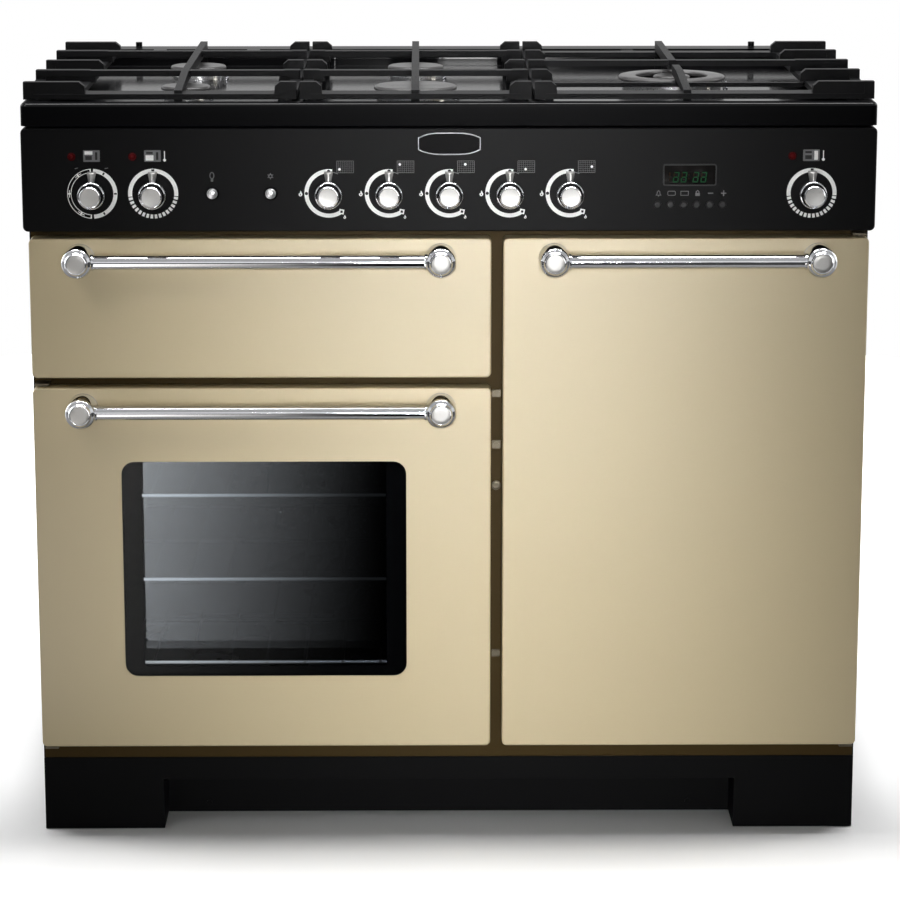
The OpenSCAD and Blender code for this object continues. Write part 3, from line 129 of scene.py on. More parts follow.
class CookerFittingSettings(bpy.types.PropertyGroup):
    """Sizes of the fine fittings, in millimetres."""

    dial_radius: size("Dial radius", "Outer radius of a knob's dial", 29.2, 20.0, 31.0)
    dial_width: size("Dial width", "Width of a dial's white ring", 4.7, 2.0, 7.0)
    print_thick: size("Print thickness", "How far prints stand proud", 0.2, 0.05, 0.5)
    edge_round: size("Enamel edge", "Rounding of enamelled edges", 0.9, 0.1, 2.0)
    cast_round: size("Cast edge", "Rounding of the cast iron's edges", 1.6, 0.2, 3.0)
    lathe_steps: IntProperty(name="Lathe steps", description="Facets round a turned piece",
                             default=56, min=16, max=128)


class CookerStageSettings(bpy.types.PropertyGroup):
    """Camera and lamps."""

    camera_place: FloatVectorProperty(name="Camera", description="Place of the camera",
                                      default=(-0.0342, -4.085, 1.3375), subtype="XYZ",
                                      unit="LENGTH")
    camera_tilt: FloatProperty(name="Tilt", description="How far the camera looks down",
                               default=math.radians(12.651), subtype="ANGLE", unit="ROTATION")
    camera_turn: FloatProperty(name="Turn", description="How far the camera looks to the right",
                               default=math.radians(0.527), subtype="ANGLE", unit="ROTATION")
    lens: FloatProperty(name="Lens", description="Focal length on a 36 mm sensor",
                        default=131.29, subtype="DISTANCE_CAMERA", unit="CAMERA")
    key: power("Top lamp", "Power of the lamp above", 95.0)
    strip: power("Front strip", "Power of the upright lamp in front", 3.6)
    fill: power("Left fill", "Power of the small lamp in front, left", 0.35)
    sides: power("Side lamps", "Power of each side lamp", 22.0)
    world: FloatProperty(name="World", description="Strength of the studio's own light",
                         default=0.5, min=0.0)


# Node trees

def arithmetic(operation, flipped=False):
    """An operator of Value, which adds a Math node."""
    def apply(self, other):
        first, second = (other, self) if flipped else (self, other)
        return self.join(operation, first, second)
    return apply


class Value:
    """A node's output. Arithmetic on it adds Math nodes to its tree."""

    def __init__(self, sheet, socket):
        self.sheet = sheet
        self.socket = socket

    def other(self, name):
        """Another output of the same node."""
        return Value(self.sheet, self.socket.node.outputs[name])

    def join(self, operation, first, second):
        return self.sheet.add("ShaderNodeMath", {"operation": operation}, {0: first, 1: second})

    __add__, __radd__ = arithmetic("ADD"), arithmetic("ADD", True)
    __sub__, __rsub__ = arithmetic("SUBTRACT"), arithmetic("SUBTRACT", True)
    __mul__, __rmul__ = arithmetic("MULTIPLY"), arithmetic("MULTIPLY", True)
    __pow__ = arithmetic("POWER")


class Sheet:
    """A node tree that is filled by short calls."""

    def __init__(self, owner):
        owner.use_nodes = True
        self.owner = owner
        self.tree = owner.node_tree
        self.tree.nodes.clear()

    def add(self, kind, settings=None, sockets=None):
        """Adds a node of this kind, sets it up and feeds its sockets with values or links."""
        node = self.tree.nodes.new(kind)
        for name, value in (settings or {}).items():
            if name == "stops":
                self.set_stops(node.color_ramp, value)
            else:
                setattr(node, name, value)
        for key, value in (sockets or {}).items():
            if isinstance(value, Value):
                self.tree.links.new(value.socket, node.inputs[key])
            else:
                entry = node.inputs[key]
                wide = entry.type == "RGBA" and len(value) == 3
                entry.default_value = (*value, 1.0) if wide else value
        return Value(self, node.outputs[0]) if node.outputs else None

    def set_stops(self, ramp, stops):
        """Gives a colour ramp its stops, each a place and a grey or a colour."""
        while len(ramp.elements) < len(stops):
            ramp.elements.new(0.5)
        for element, (place, shade) in zip(ramp.elements, stops):
            element.position = place
            element.color = (shade, shade, shade, 1) if isinstance(shade, float) else (*shade, 1)

    def place(self):
        """Coordinates in the object's own space, in metres."""
        return self.add("ShaderNodeTexCoord").other("Object")

    def stretched(self, x, y, z):
        """Those coordinates, stretched along each axis."""
        return self.add("ShaderNodeVectorMath", {"operation": "MULTIPLY"},
                        {0: self.place(), 1: (x, y, z)})

    def noise(self, scale, detail=2.0, rough=0.5):
        """Noise from 0 to 1."""
        return self.add("ShaderNodeTexNoise", {}, {"Vector": self.place(), "Scale": scale,
                                                   "Detail": detail, "Roughness": rough})

    def cells(self, scale):
        """Cells: their distance field, with a colour for each cell as another output."""
        return self.add("ShaderNodeTexVoronoi", {}, {"Vector": self.place(), "Scale": scale})

    def spread(self, value, low, high, to_low=0.0, to_high=1.0):
        """The value moved from one span to another and held inside it."""
        return self.add("ShaderNodeMapRange", {"clamp": True},
                        {"Value": value, "From Min": low, "From Max": high,
                         "To Min": to_low, "To Max": to_high})

    def ramp(self, value, stops):
        """A colour for each value."""
        return self.add("ShaderNodeValToRGB", {"stops": stops}, {"Fac": value})

    def blend(self, factor, first, second):
        """A mix of two colours."""
        made = self.add("ShaderNodeMix", {"data_type": "RGBA"}, {0: factor, 6: first, 7: second})
        return Value(self, made.socket.node.outputs[2])

    def bump(self, height, strength, distance):
        """A normal from a height field, with its depth in metres."""
        return self.add("ShaderNodeBump", {}, {"Height": height, "Strength": strength,
                                               "Distance": distance})

    def axes(self, where=None):
        """X of a vector, with Y and Z as the other outputs."""
        return self.add("ShaderNodeSeparateXYZ", {}, {0: where or self.place()})

    def reach(self, where):
        """Length of a vector."""
        return self.add("ShaderNodeVectorMath", {"operation": "LENGTH"}, {0: where}).other("Value")

    def close(self, surface):
        """Joins a shader to the material's output."""
        self.add("ShaderNodeOutputMaterial", {}, {"Surface": surface})
        return self.owner

    def paint(self, **sockets):
        """The plain surface shader with these sockets, joined to the output."""
        names = {k.replace("_", " ").title().replace("Ior", "IOR"): v for k, v in sockets.items()}
        return self.close(self.add("ShaderNodeBsdfPrincipled", {}, names))


FINISHES = {}


def finish(name):
    """The named finish, made at its first use."""
    if name not in FINISHES:
        FINISHES[name] = MAKERS[name](Sheet(bpy.data.materials.new(name)))
    return FINISHES[name]


def colours():
    return bpy.context.scene.cooker_finish


def shaded(shade, factor):
    """A colour made lighter or darker."""
    return tuple(min(1.0, c * factor) for c in shade)


def enamel(sheet, shade, rough, haze, specks, gloss, coat=0.0):
    """Fired enamel: a faint drift of colour, fine specks, and an uneven melt."""
    drift = sheet.noise(2.2, 1.5)
    dust = sheet.spread(sheet.noise(1400, 1.0), 0.62, 0.72, 0.0, specks)
    base = sheet.blend(drift, shaded(shade, 0.975), shaded(shade, 1.025))
    base = sheet.blend(dust, base, shaded(shade, 1.5 if specks > 0.2 else 0.85))
    smears = (sheet.noise(7, 2.0) - 0.5) * (2 * haze)
    melt = sheet.noise(38, 1.0) + 0.1 * sheet.noise(420, 1.0)
    return sheet.paint(base_color=base, roughness=rough + smears,
                       normal=sheet.bump(melt, 0.3, 0.0001), coat_weight=coat,
                       coat_roughness=0.12, specular_ior_level=gloss)


def hob_enamel(sheet):
    """Black enamel, matt on the rolled lip, bright along its edge and glassy in the well."""
    parts = sheet.axes()
    height = parts.other("Z")
    front = span("hotplate")[0].y / 1000
    deep = (sheet.spread(height, 0.888, 0.896, 1.0, 0.0)
            * sheet.spread(parts.other("Y"), front + 0.012, front + 0.018))
    crown = span("hotplate")[1].z / 1000
    edge = (sheet.spread(height, crown - 0.0042, crown - 0.0032)
            * sheet.spread(height, crown - 0.0014, crown - 0.0006, 1.0, 0.0))
    shade = colours().black
    ripple = sheet.noise(9, 2.0) + 0.06 * sheet.noise(300, 1.0)
    base = sheet.blend(sheet.noise(3, 2.0), shaded(shade, 1.3), shaded(shade, 1.9))
    return sheet.paint(base_color=base, roughness=0.3 - 0.16 * deep,
                       coat_weight=0.16 * deep + 0.5 * edge, coat_roughness=0.08,
                       specular_ior_level=0.012, normal=sheet.bump(ripple, 0.3, 0.0006))


def liner_enamel(sheet):
    """Dark oven enamel with pale specks."""
    flecks = sheet.spread(sheet.cells(520), 0.16, 0.26, 0.9, 0.0)
    cloud = sheet.spread(sheet.noise(5, 4.0), 0.3, 0.7)
    shade = colours().cavity
    base = sheet.blend(cloud, shaded(shade, 0.75), shaded(shade, 1.2))
    base = sheet.blend(flecks * sheet.spread(sheet.noise(210), 0.5, 0.56), base,
                       tone(150, 152, 160))
    return sheet.paint(base_color=base, roughness=sheet.spread(cloud, 0.0, 1.0, 0.22, 0.36),
                       normal=sheet.bump(sheet.noise(90, 3.0), 0.4, 0.0002))


def cast_iron(sheet):
    """Sand-cast iron under thin matt enamel, with paler flecks in its grain."""
    grain = sheet.noise(620, 3.0, 0.65)
    pits = sheet.spread(sheet.cells(260), 0.0, 0.25)
    cloud = sheet.spread(sheet.noise(14, 4.0), 0.35, 0.7)
    shade = colours().iron
    base = sheet.blend(cloud, shaded(shade, 0.8), shaded(shade, 1.18))
    base = sheet.blend(sheet.spread(grain, 0.5, 0.8, 0.0, 0.35), base, shaded(shade, 1.7))
    return sheet.paint(base_color=base, roughness=sheet.spread(grain, 0.3, 0.7, 0.4, 0.55),
                       normal=sheet.bump(grain + 0.4 * pits, 0.4, 0.0002),
                       specular_ior_level=0.05)


def cap_enamel(sheet):
    """Matt vitreous enamel of the burner caps, with a little heat bloom."""
    grain = sheet.noise(900, 2.0)
    bloom = sheet.spread(sheet.noise(26, 3.0), 0.45, 0.75, 0.0, 0.4)
    shade = colours().cap
    base = sheet.blend(bloom, shade, shaded(shade, 1.5))
    return sheet.paint(base_color=base, roughness=sheet.spread(grain, 0.3, 0.7, 0.3, 0.42),
                       normal=sheet.bump(grain, 0.25, 0.0001))


def metal(sheet, shade, rough, haze, grain_scale=600, depth=0.00003):
    """Bare or plated metal with smears and a fine grain."""
    grain = sheet.noise(grain_scale, 2.0)
    smears = sheet.spread(sheet.noise(30, 4.0, 0.6), 0.4, 0.75, 0.0, haze)
    base = sheet.blend(sheet.spread(grain, 0.3, 0.7), shaded(shade, 0.94),
                       shaded(shade, 1.04))
    return sheet.paint(base_color=base, metallic=1.0, roughness=rough + smears,
                       normal=sheet.bump(grain, 0.3, depth))


def satin(sheet):
    """Turned satin metal, with rings about the piece's own axis."""
    reach = sheet.reach(sheet.stretched(1, 0, 1))
    rings = sheet.add("ShaderNodeMath", {"operation": "SINE"}, {0: reach * 14000})
    smears = sheet.spread(sheet.noise(120, 2.0), 0.35, 0.7, 0.0, 0.05)
    base = sheet.blend(0.5 + 0.5 * rings, tone(148, 147, 145), tone(162, 161, 159))
    return sheet.paint(base_color=base, metallic=0.9, roughness=0.4 + smears,
                       normal=sheet.bump(rings, 0.1, 0.000004))


def shelf_wire_painted_highlight(sheet):
    """Shelf chrome with a painted highlight: emission paints a bright band along the upper side of
    the front wires and on the ends of the thin ones, fading to the right and dimmer on the lowest
    shelf."""
    parts = sheet.axes()
    depth, height = parts.other("Y"), parts.other("Z")
    low = span("left_shelf_1")[0] / 1000
    pitch = span("left_shelf_2")[0].z / 1000 - low.z
    rise = height.join("MODULO", height - low.z, pitch)
    line = (sheet.spread(rise, 0.0029, 0.0035)
            * sheet.spread(rise, 0.005, 0.0056, 1.0, 0.0)
            * sheet.spread(depth, low.y + 0.004, low.y + 0.008, 1.0, 0.0))
    ends = sheet.spread(depth, low.y + 0.0003, low.y + 0.0006, 0.8, 0.0)
    fade = sheet.spread(parts, -0.325, -0.1, 1.0, 0.0) ** 1.9 + 0.02
    fade = fade * sheet.spread(height, low.z + 0.03, low.z + 0.05, 0.55, 1.0)
    grain = sheet.noise(600, 2.0)
    # Painted highlight: the wires glow by emission where lit chrome would shine.
    bright = fade * line.join("MAXIMUM", line, ends)
    glow = sheet.blend(bright, (0.0, 0.0, 0.0), tone(240, 240, 238))
    return sheet.paint(base_color=tone(196, 197, 202), metallic=1.0, roughness=0.14 + 0.14 * grain,
                       normal=sheet.bump(grain, 0.3, 0.00003), emission_color=glow,
                       emission_strength=1.15)


def burner_alloy(sheet):
    """Cast aluminium with a slight blue and straw heat tint."""
    tint = sheet.ramp(sheet.noise(24, 3.0), [
        (0.3, tone(196, 197, 200)), (0.55, tone(222, 222, 222)), (0.75, tone(206, 198, 182))])
    grain = sheet.noise(800, 3.0, 0.6)
    return sheet.paint(base_color=tint, metallic=1.0,
                       roughness=sheet.spread(grain, 0.3, 0.7, 0.22, 0.42),
                       normal=sheet.bump(grain, 0.5, 0.00012))


def zinc_sheet(sheet):
    """Galvanised sheet with spangle."""
    cells = sheet.cells(70)
    flake = sheet.add("ShaderNodeSeparateColor", {}, {"Color": cells.other("Color")})
    base = sheet.blend(flake, tone(142, 146, 150), tone(178, 181, 184))
    scuff = sheet.spread(sheet.noise(18, 4.0, 0.6), 0.4, 0.7, 0.0, 0.14)
    return sheet.paint(base_color=base, metallic=1.0, roughness=scuff + 0.1 * flake + 0.34,
                       normal=sheet.bump(cells, 0.12, 0.0001))


def element_steel(sheet):
    """Oxidised heating element tube, tinted by heat."""
    tint = sheet.ramp(sheet.noise(14, 3.0), [(0.35, tone(70, 66, 64)), (0.5, tone(98, 88, 78)),
                                           (0.62, tone(74, 76, 92)), (0.75, tone(60, 58, 58))])
    grain = sheet.noise(700, 2.0)
    return sheet.paint(base_color=tint, metallic=0.85,
                       roughness=sheet.spread(grain, 0.3, 0.7, 0.38, 0.55),
                       normal=sheet.bump(grain, 0.4, 0.0001))


def plastic(sheet, shade, rough, gloss=0.4):
    """Moulded plastic with a fine spark-eroded grain."""
    grain = sheet.noise(1500, 2.0, 0.6)
    cloud = sheet.spread(sheet.noise(20, 2.0), 0.3, 0.7)
    base = sheet.blend(cloud, shaded(shade, 0.9), shaded(shade, 1.1))
    return sheet.paint(base_color=base, specular_ior_level=gloss,
                       roughness=sheet.spread(grain, 0.3, 0.7, rough, rough + 0.12),
                       normal=sheet.bump(grain, 0.35, 0.00005))


def printed(sheet, shade, glow=0.0):
    """Fired screen print: a slightly uneven ink with a soft gloss. glow makes the ink emit light, a
    painted glow.
    """
    mottle = sheet.spread(sheet.noise(700, 3.0), 0.35, 0.7)
    base = sheet.blend(mottle, shaded(shade, 0.9), shade)
    return sheet.paint(base_color=base, roughness=sheet.spread(mottle, 0.0, 1.0, 0.4, 0.5),
                       normal=sheet.bump(mottle, 0.2, 0.00004), specular_ior_level=0.3,
                       emission_color=base, emission_strength=glow)


def lamp_red(sheet):
    """Clear red lens with a darker, ribbed inside."""
    ribs = sheet.add("ShaderNodeTexWave", {"wave_type": "BANDS", "bands_direction": "X"},
                     {"Vector": sheet.place(), "Scale": 400.0}).other("Fac")
    base = sheet.blend(ribs, shaded(colours().lamp, 0.5), colours().lamp)
    return sheet.paint(base_color=base, roughness=0.4 + 0.05 * ribs, specular_ior_level=0.06,
                       normal=sheet.bump(ribs, 0.2, 0.0001))


def display_black(sheet):
    """Smoked display window."""
    haze = sheet.spread(sheet.noise(60, 3.0), 0.4, 0.7, 0.0, 0.06)
    base = sheet.blend(haze * 8, tone(14, 12, 11), tone(22, 18, 16))
    return sheet.paint(base_color=base, roughness=0.1 + haze, specular_ior_level=0.3,
                       normal=sheet.bump(haze, 0.1, 0.00005))


def digit_green(sheet):
    """Faintly lit display segment."""
    fade = sheet.spread(sheet.noise(500, 2.0), 0.3, 0.7, 0.55, 1.0)
    lit = sheet.blend(fade, shaded(colours().digits, 0.4), colours().digits)
    return sheet.paint(base_color=lit, roughness=0.6 + 0.1 * fade, emission_color=lit,
                       emission_strength=1.2, specular_ior_level=0.02)


def digit_ghost(sheet):
    """Unlit display segment."""
    fade = sheet.spread(sheet.noise(500, 2.0), 0.3, 0.7)
    return sheet.paint(base_color=sheet.blend(fade, tone(34, 24, 16), tone(50, 33, 20)),
                       roughness=0.6 + 0.1 * fade, specular_ior_level=0.02)


def glass(sheet, tint, shine):
    """Toughened glass: tinted, mirror-bright at a slant, with faint wiping smears."""
    facing = sheet.add("ShaderNodeLayerWeight", {}, {"Blend": 0.5}).other("Facing")
    smears = sheet.noise(6, 3.0)
    shine = shine + 0.85 * facing ** 5 + 0.15 * shine * smears
    clear = sheet.add("ShaderNodeBsdfTransparent", {}, {"Color": tint})
    mirror = sheet.add("ShaderNodeBsdfGlossy", {}, {"Color": WHITE_LIGHT, "Roughness": 0.03})
    return sheet.close(sheet.add("ShaderNodeMixShader", {}, {0: shine, 1: clear, 2: mirror}))


MAKERS = {
    "cream_enamel": lambda s: enamel(s, colours().cream, 0.38, 0.02, 0.12, 1.0, 0.1),
    "black_enamel": lambda s: enamel(s, colours().black, 0.3, 0.03, 0.25, 0.06),
    "panel_black": lambda s: enamel(s, colours().panel, 0.36, 0.03, 0.25, 0.06),
    "plinth_black": lambda s: enamel(s, colours().black, 0.42, 0.04, 0.25, 0.06),
    "chrome": lambda s: metal(s, tone(222, 223, 226), 0.05, 0.09),
    "shelf_chrome": lambda s: metal(s, tone(196, 197, 202), 0.14, 0.16),
    "dark_fitting": lambda s: metal(s, tone(92, 86, 74), 0.38, 0.12, 500, 0.00006),
    "dull_steel": lambda s: metal(s, tone(132, 132, 134), 0.36, 0.1, 500, 0.00006),
    "button_chrome": lambda s: metal(s, tone(208, 208, 210), 0.3, 0.03, 200, 0.000002),
    "brass_pipe": lambda s: metal(s, tone(196, 160, 92), 0.22, 0.2, 400, 0.00005),
    "black_plastic": lambda s: plastic(s, tone(16, 16, 17), 0.16, 0.3),
    "button_black": lambda s: plastic(s, tone(15, 15, 16), 0.44, 0.3),
    "seal_rubber": lambda s: plastic(s, tone(30, 30, 31), 0.6),
    "ceramic": lambda s: plastic(s, tone(222, 218, 208), 0.3),
    # Painted glow: the white print emits a little light, so the dials and white marks read evenly
    # bright.
    "dial_white": lambda s: printed(s, colours().print_white, 0.17),
    "mark_grey": lambda s: printed(s, colours().print_grey),
    "mark_black": lambda s: printed(s, tone(10, 10, 11)),
    "door_glass": lambda s: glass(s, tone(238, 240, 242), 0.006),
    # The inner pane's coat throws heat back, less so in its thin lower rim.
    "coated_glass": lambda s: glass(s, tone(236, 239, 242), 0.11),
    "coat_edge": lambda s: glass(s, tone(236, 239, 242), 0.05),
    "border_black": lambda s: enamel(s, tone(5, 5, 6), 0.24, 0.03, 0.1, 0.03),
    # Dark olive frame, seen in the gap between the doors: painted shade and a painted reflection of
    # the cream door edges, set as the frame's colour.
    "frame_painted_gap_shade": lambda s: enamel(s, tone(62, 47, 16), 0.5, 0.04, 0.2, 0.1),
}
MAKERS.update((f.__name__, f) for f in (
    hob_enamel, liner_enamel, cast_iron, cap_enamel, satin, shelf_wire_painted_highlight, burner_alloy, zinc_sheet,
    element_steel, lamp_red, display_black, digit_green, digit_ghost))


# Shapes

class Shape:
    """A mesh being built in millimetres. A face takes the finish that is current then."""

    def __init__(self):
        self.mesh = bmesh.new()
        self.finish = 0

    def skin(self, loops, joined=False):
        """Joins a row of point loops; a loop of one point is a tip. Open ends are closed."""
        rows = [[self.mesh.verts.new(p) for p in loop] for loop in loops]
        pairs = list(zip(rows, rows[1:])) + ([(rows[-1], rows[0])] if joined else [])
        for a, b in pairs:
            count = max(len(a), len(b))
            for i in range(count):
                j = (i + 1) % count
                corners = [a[i % len(a)], a[j % len(a)], b[j % len(b)], b[i % len(b)]]
                self.face(list(dict.fromkeys(corners)))
        if not joined:
            for row in (rows[0], rows[-1]):
                if len(row) > 2:
                    self.face(row)

    def face(self, corners):
        self.mesh.faces.new(corners).material_index = self.finish

    def turn(self, centre, profile, along=(0, -1, 0), steps=None):
        """A turned body: radius and height along its axis, from one end to the other."""
        steps = steps or bpy.context.scene.cooker_fitting.lathe_steps
        axis = Vector(along).normalized()
        side = axis.orthogonal().normalized()
        if abs(axis.y) > 0.9:
            side = Vector((1, 0, 0))
        across = axis.cross(side)
        loops = []
        for radius, height in profile:
            base = Vector(centre) + axis * height
            angles = [2 * math.pi * i / steps for i in range(steps)] if radius else [0]
            loops.append([base + (side * math.cos(a) + across * math.sin(a)) * radius
                          for a in angles])
        self.skin(loops)

    def plate(self, outline, near, far):
        """An upright flat outline given thickness."""
        self.skin([[(x, y, z) for x, z in outline] for y in (near, far)])

    def stroke(self, points, width, near, far, closed=False):
        """A line of constant width drawn on an upright face."""
        count = len(points)
        loops = []
        for i, point in enumerate(points):
            p = Vector(point)
            before = Vector(points[(i - 1) % count]) if closed or i else None
            after = Vector(points[(i + 1) % count]) if closed or i < count - 1 else None
            steps = [(b - a).normalized() for a, b in ((before, p), (p, after))
                     if a is not None and b is not None]
            run = sum(steps, Vector((0, 0))).normalized()
            mitre = max(0.5, run.dot(steps[0]))
            out = Vector((-run.y, run.x)) * (width / 2 / mitre)
            a, b = p + out, p - out
            loops.append([(a.x, near, a.y), (b.x, near, b.y), (b.x, far, b.y), (a.x, far, a.y)])
        self.skin(loops, joined=closed)

    def piece(self, name, body, finishes, at=(0, 0, 0), bevel=0.0, slot=None):
        """Closes the mesh as an object that rides on a body."""
        bmesh.ops.recalc_face_normals(self.mesh, faces=self.mesh.faces)
        bmesh.ops.scale(self.mesh, vec=(0.001, 0.001, 0.001), verts=self.mesh.verts)
        data = bpy.data.meshes.new(name)
        self.mesh.to_mesh(data)
        self.mesh.free()
        for each in finishes:
            data.materials.append(finish(each))
        data.shade_smooth()
        data.set_sharp_from_angle(angle=math.radians(35))
        made = bpy.data.objects.new(name, data)
        made.location = Vector(at) * 0.001
        bpy.context.scene.collection.objects.link(made)
        if bevel:
            round_edges(made, bevel, 2)
        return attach(made, body)


def hour_point(centre, radius, hour):
    """A point on a dial: twelve is up, and hours run clockwise seen from the front."""
    angle = math.radians(hour * 30)
    return (centre[0] + radius * math.sin(angle), centre[1] + radius * math.cos(angle))


class Print(Shape):
    """Flat marks on the panel's face. rise lifts a mark above the others."""

    def __init__(self):
        super().__init__()
        self.near = FACE_Y - bpy.context.scene.cooker_fitting.print_thick
        self.far = FACE_Y + PRINT_ROOT

    def area(self, outline, rise=0):
        self.plate(outline, self.near - rise, self.far)

    def line(self, points, width, closed=False, rise=0):
        self.stroke(points, width, self.near - rise, self.far, closed)

    def arc(self, centre, radius, width, hours, steps=None, rise=0):
        """A line along a circle from one hour of the clock to another, clockwise."""
        start, end = hours
        full = abs(end - start) >= 12
        steps = steps or max(3, int(abs(end - start) * 6))
        marks = range(steps if full else steps + 1)
        points = [hour_point(centre, radius, start + (end - start) * i / steps) for i in marks]
        self.line(points, width, full, rise)

    def dot(self, centre, radius, rise=0, steps=20):
        height = self.far - (self.near - rise)
        self.turn((centre[0], self.far, centre[1]),
                  [(0, 0), (radius, 0), (radius, height), (0, height)], steps=steps)


def round_edges(made, width, segments=3, angle=28):
    """Rounds a piece's edges, with flat faces left flat to the eye."""
    bevel = made.modifiers.new("edges", "BEVEL")
    bevel.width = width * 0.001
    bevel.segments = segments
    bevel.limit_method = "ANGLE"
    bevel.angle_limit = math.radians(angle)
    bevel.use_clamp_overlap = True
    bevel.miter_outer = "MITER_ARC"
    shading = made.modifiers.new("shading", "WEIGHTED_NORMAL")
    shading.keep_sharp = True


def dress(node, name, bevel=0.0, segments=3, angle=28):
    """Gives a CAD node its finish, and rounds its edges or keeps its corners crisp."""
    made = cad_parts[node]
    if not made.material_slots:
        made.data.materials.append(None)
    for entry in made.material_slots:
        entry.link = "OBJECT"
        entry.material = finish(name)
    made.data.shade_smooth()
    weld = made.modifiers.new("weld", "WELD")
    weld.merge_threshold = 0.00002
    flat = made.modifiers.new("flat", "DECIMATE")
    flat.decimate_type = "DISSOLVE"
    flat.angle_limit = math.radians(0.4)
    if bevel:
        round_edges(made, bevel, segments, angle)
    else:
        split = made.modifiers.new("corners", "EDGE_SPLIT")
        split.split_angle = math.radians(32)
    return made


def corners(x0, z0, x1, z1):
    """A rectangle, as outline points."""
    return [(x0, z0), (x1, z0), (x1, z1), (x0, z1)]


def rounded(x0, z0, x1, z1, radius, steps=5):
    """A rectangle with round corners, as outline points."""
    points = []
    for cx, cz, start in ((x1 - radius, z1 - radius, 0), (x0 + radius, z1 - radius, 90),
                          (x0 + radius, z0 + radius, 180), (x1 - radius, z0 + radius, 270)):
        for i in range(steps + 1):
            a = math.radians(start + 90 * i / steps)
            points.append((cx + radius * math.cos(a), cz + radius * math.sin(a)))
    return points


def screw_head(shape, centre, radius=3.6, along=(0, -1, 0)):
    """A domed screw head with a socket."""
    r = radius
    shape.turn(centre, [(0, -0.5), (r, -0.5), (r, 0.5), (r * 0.86, 1.2), (r * 0.45, 1.6),
                        (r * 0.42, 0.5), (0, 0.4)], along, steps=20)


class CookerStep(bpy.types.Operator):
    """A step that dresses one group of pieces."""

    bl_options = {"REGISTER", "UNDO"}

    def execute(self, context):
        self.build(context.scene)
        return {"FINISHED"}


class COOKER_OT_casing(CookerStep):
    """Finish the casing, frame, panel, hob, trim and plinth"""

    bl_idname = "cooker.casing"
    bl_label = "Casing"

    def build(self, scene):
        edge = scene.cooker_fitting.edge_round
        dress("side_panels", "black_enamel")
        dress("back_panel", "zinc_sheet")
        dress("base_pan", "zinc_sheet")
        # The frame's olive paints the gap's shade and the doors' cream reflection.
        dress("front_frame", "frame_painted_gap_shade")
        dress("hotplate", "hob_enamel", edge * 1.6, 4)
        dress("vent_trim", "black_enamel", edge * 0.6)
        dress("control_panel", "panel_black", edge * 0.9)
        self.plate()
        dress("plinth", "plinth_black", edge)
        dress("feet", "black_plastic", 0.6)

    def plate(self):
        """A bare black plate with a bright rim at the top of the panel."""
        low, high = span("name_plate")
        x, z = middle("name_plate")
        w, h, side = (high.x - low.x) / 2 - 0.6, (high.z - low.z) / 2 - 0.6, 6.8
        arc = [(w * (1 - k / 6), side + (h - side) * math.sin(math.pi / 2 * (1 - (1 - k / 6) ** 2)))
               for k in range(12)]
        top = [(x + a, z + b) for a, b in arc + [(-w, side)]]
        outline = top + [(a, 2 * z - b) for a, b in reversed(top)]
        face = Shape()
        face.plate(outline, low.y + 0.5, high.y)
        made = face.piece("badge_plate", "casing", ["border_black"], bevel=0.2)
        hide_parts("name_plate")
        rim = Shape()
        rim.stroke(outline, 1.2, low.y, high.y, True)
        rim.piece("badge_rim", "casing", ["dull_steel"], bevel=0.25, slot="plate_chrome")


class COOKER_OT_doors(CookerStep):
    """Finish the doors, their inner sheets, seals and hinges"""

    bl_idname = "cooker.doors"
    bl_label = "Doors"

    def build(self, scene):
        edge = scene.cooker_fitting.edge_round
        for node in ("grill_door", "left_door", "right_door"):
            dress(node, "cream_enamel", edge * 0.8, 4)
        for node in ("left_door_inner", "right_door_inner"):
            dress(node, "liner_enamel", 0.6)
        dress("door_seals", "seal_rubber")
        dress("door_fittings", "dark_fitting")
        self.window_panes()
        self.window_border()

    def window_panes(self):
        """The stepped outer pane and the flat inner one."""
        low, high = span("left_door_glass")
        outer = Shape()
        loops = [(PANE_LAP, low.y), (PANE_LAP, low.y + 1.4), (0.3, low.y + 1.5),
                 (0.3, low.y + PANE_DEPTH)]
        outer.skin([[(x, y, z) for x, z in rounded(low.x + in_by, low.z + in_by, high.x - in_by,
                                                   high.z - in_by, 15.3)] for in_by, y in loops])
        made = outer.piece("window_outer_pane", "left_door_body", ["door_glass"], bevel=0.3,
                           slot="door_glass")
        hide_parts("left_door_glass")
        inner = Shape()
        inner.plate(rounded(low.x, low.z, high.x, high.z, 15.5), high.y - 4, high.y)
        inner.piece("window_inner_pane", "left_door_body", ["door_glass"], bevel=0.4,
                    slot="door_glass")
        coat = Shape()
        near, far = high.y - 4.4, high.y - 4.1
        coat.plate(rounded(low.x + 34, low.z + 49.5, high.x - 6, high.z - 6, 6), near, far)
        coat.finish = 1
        coat.plate(rounded(low.x + 33, low.z + 40, high.x - 6, low.z + 49.3, 3), near, far)
        coat.piece("window_heat_coat", "left_door_body", ["coated_glass", "coat_edge"],
                   slot="door_glass")

    def window_border(self):
        """Black fired border on the inner face of the outer pane."""
        low, high = span("left_door_glass")
        pane_back = low.y + PANE_DEPTH
        x0, x1, z0, z1 = (low.x + PANE_LAP, high.x - PANE_LAP, low.z + PANE_LAP,
                          high.z - PANE_LAP)
        shape = Shape()
        outer = rounded(x0 - 6, z0 - 6, x1 + 6, z1 + 6, 18, 6)
        inner = rounded(x0 + 23, z0 + 11, x1 - 24, z1 + 1.5, 4, 6)
        near, far = pane_back + 0.1, pane_back + 0.5
        shape.skin([[(x, near, z) for x, z in outer], [(x, near, z) for x, z in inner],
                    [(x, far, z) for x, z in inner], [(x, far, z) for x, z in outer]], joined=True)
        shape.piece("window_border", "left_door_body", ["border_black"])


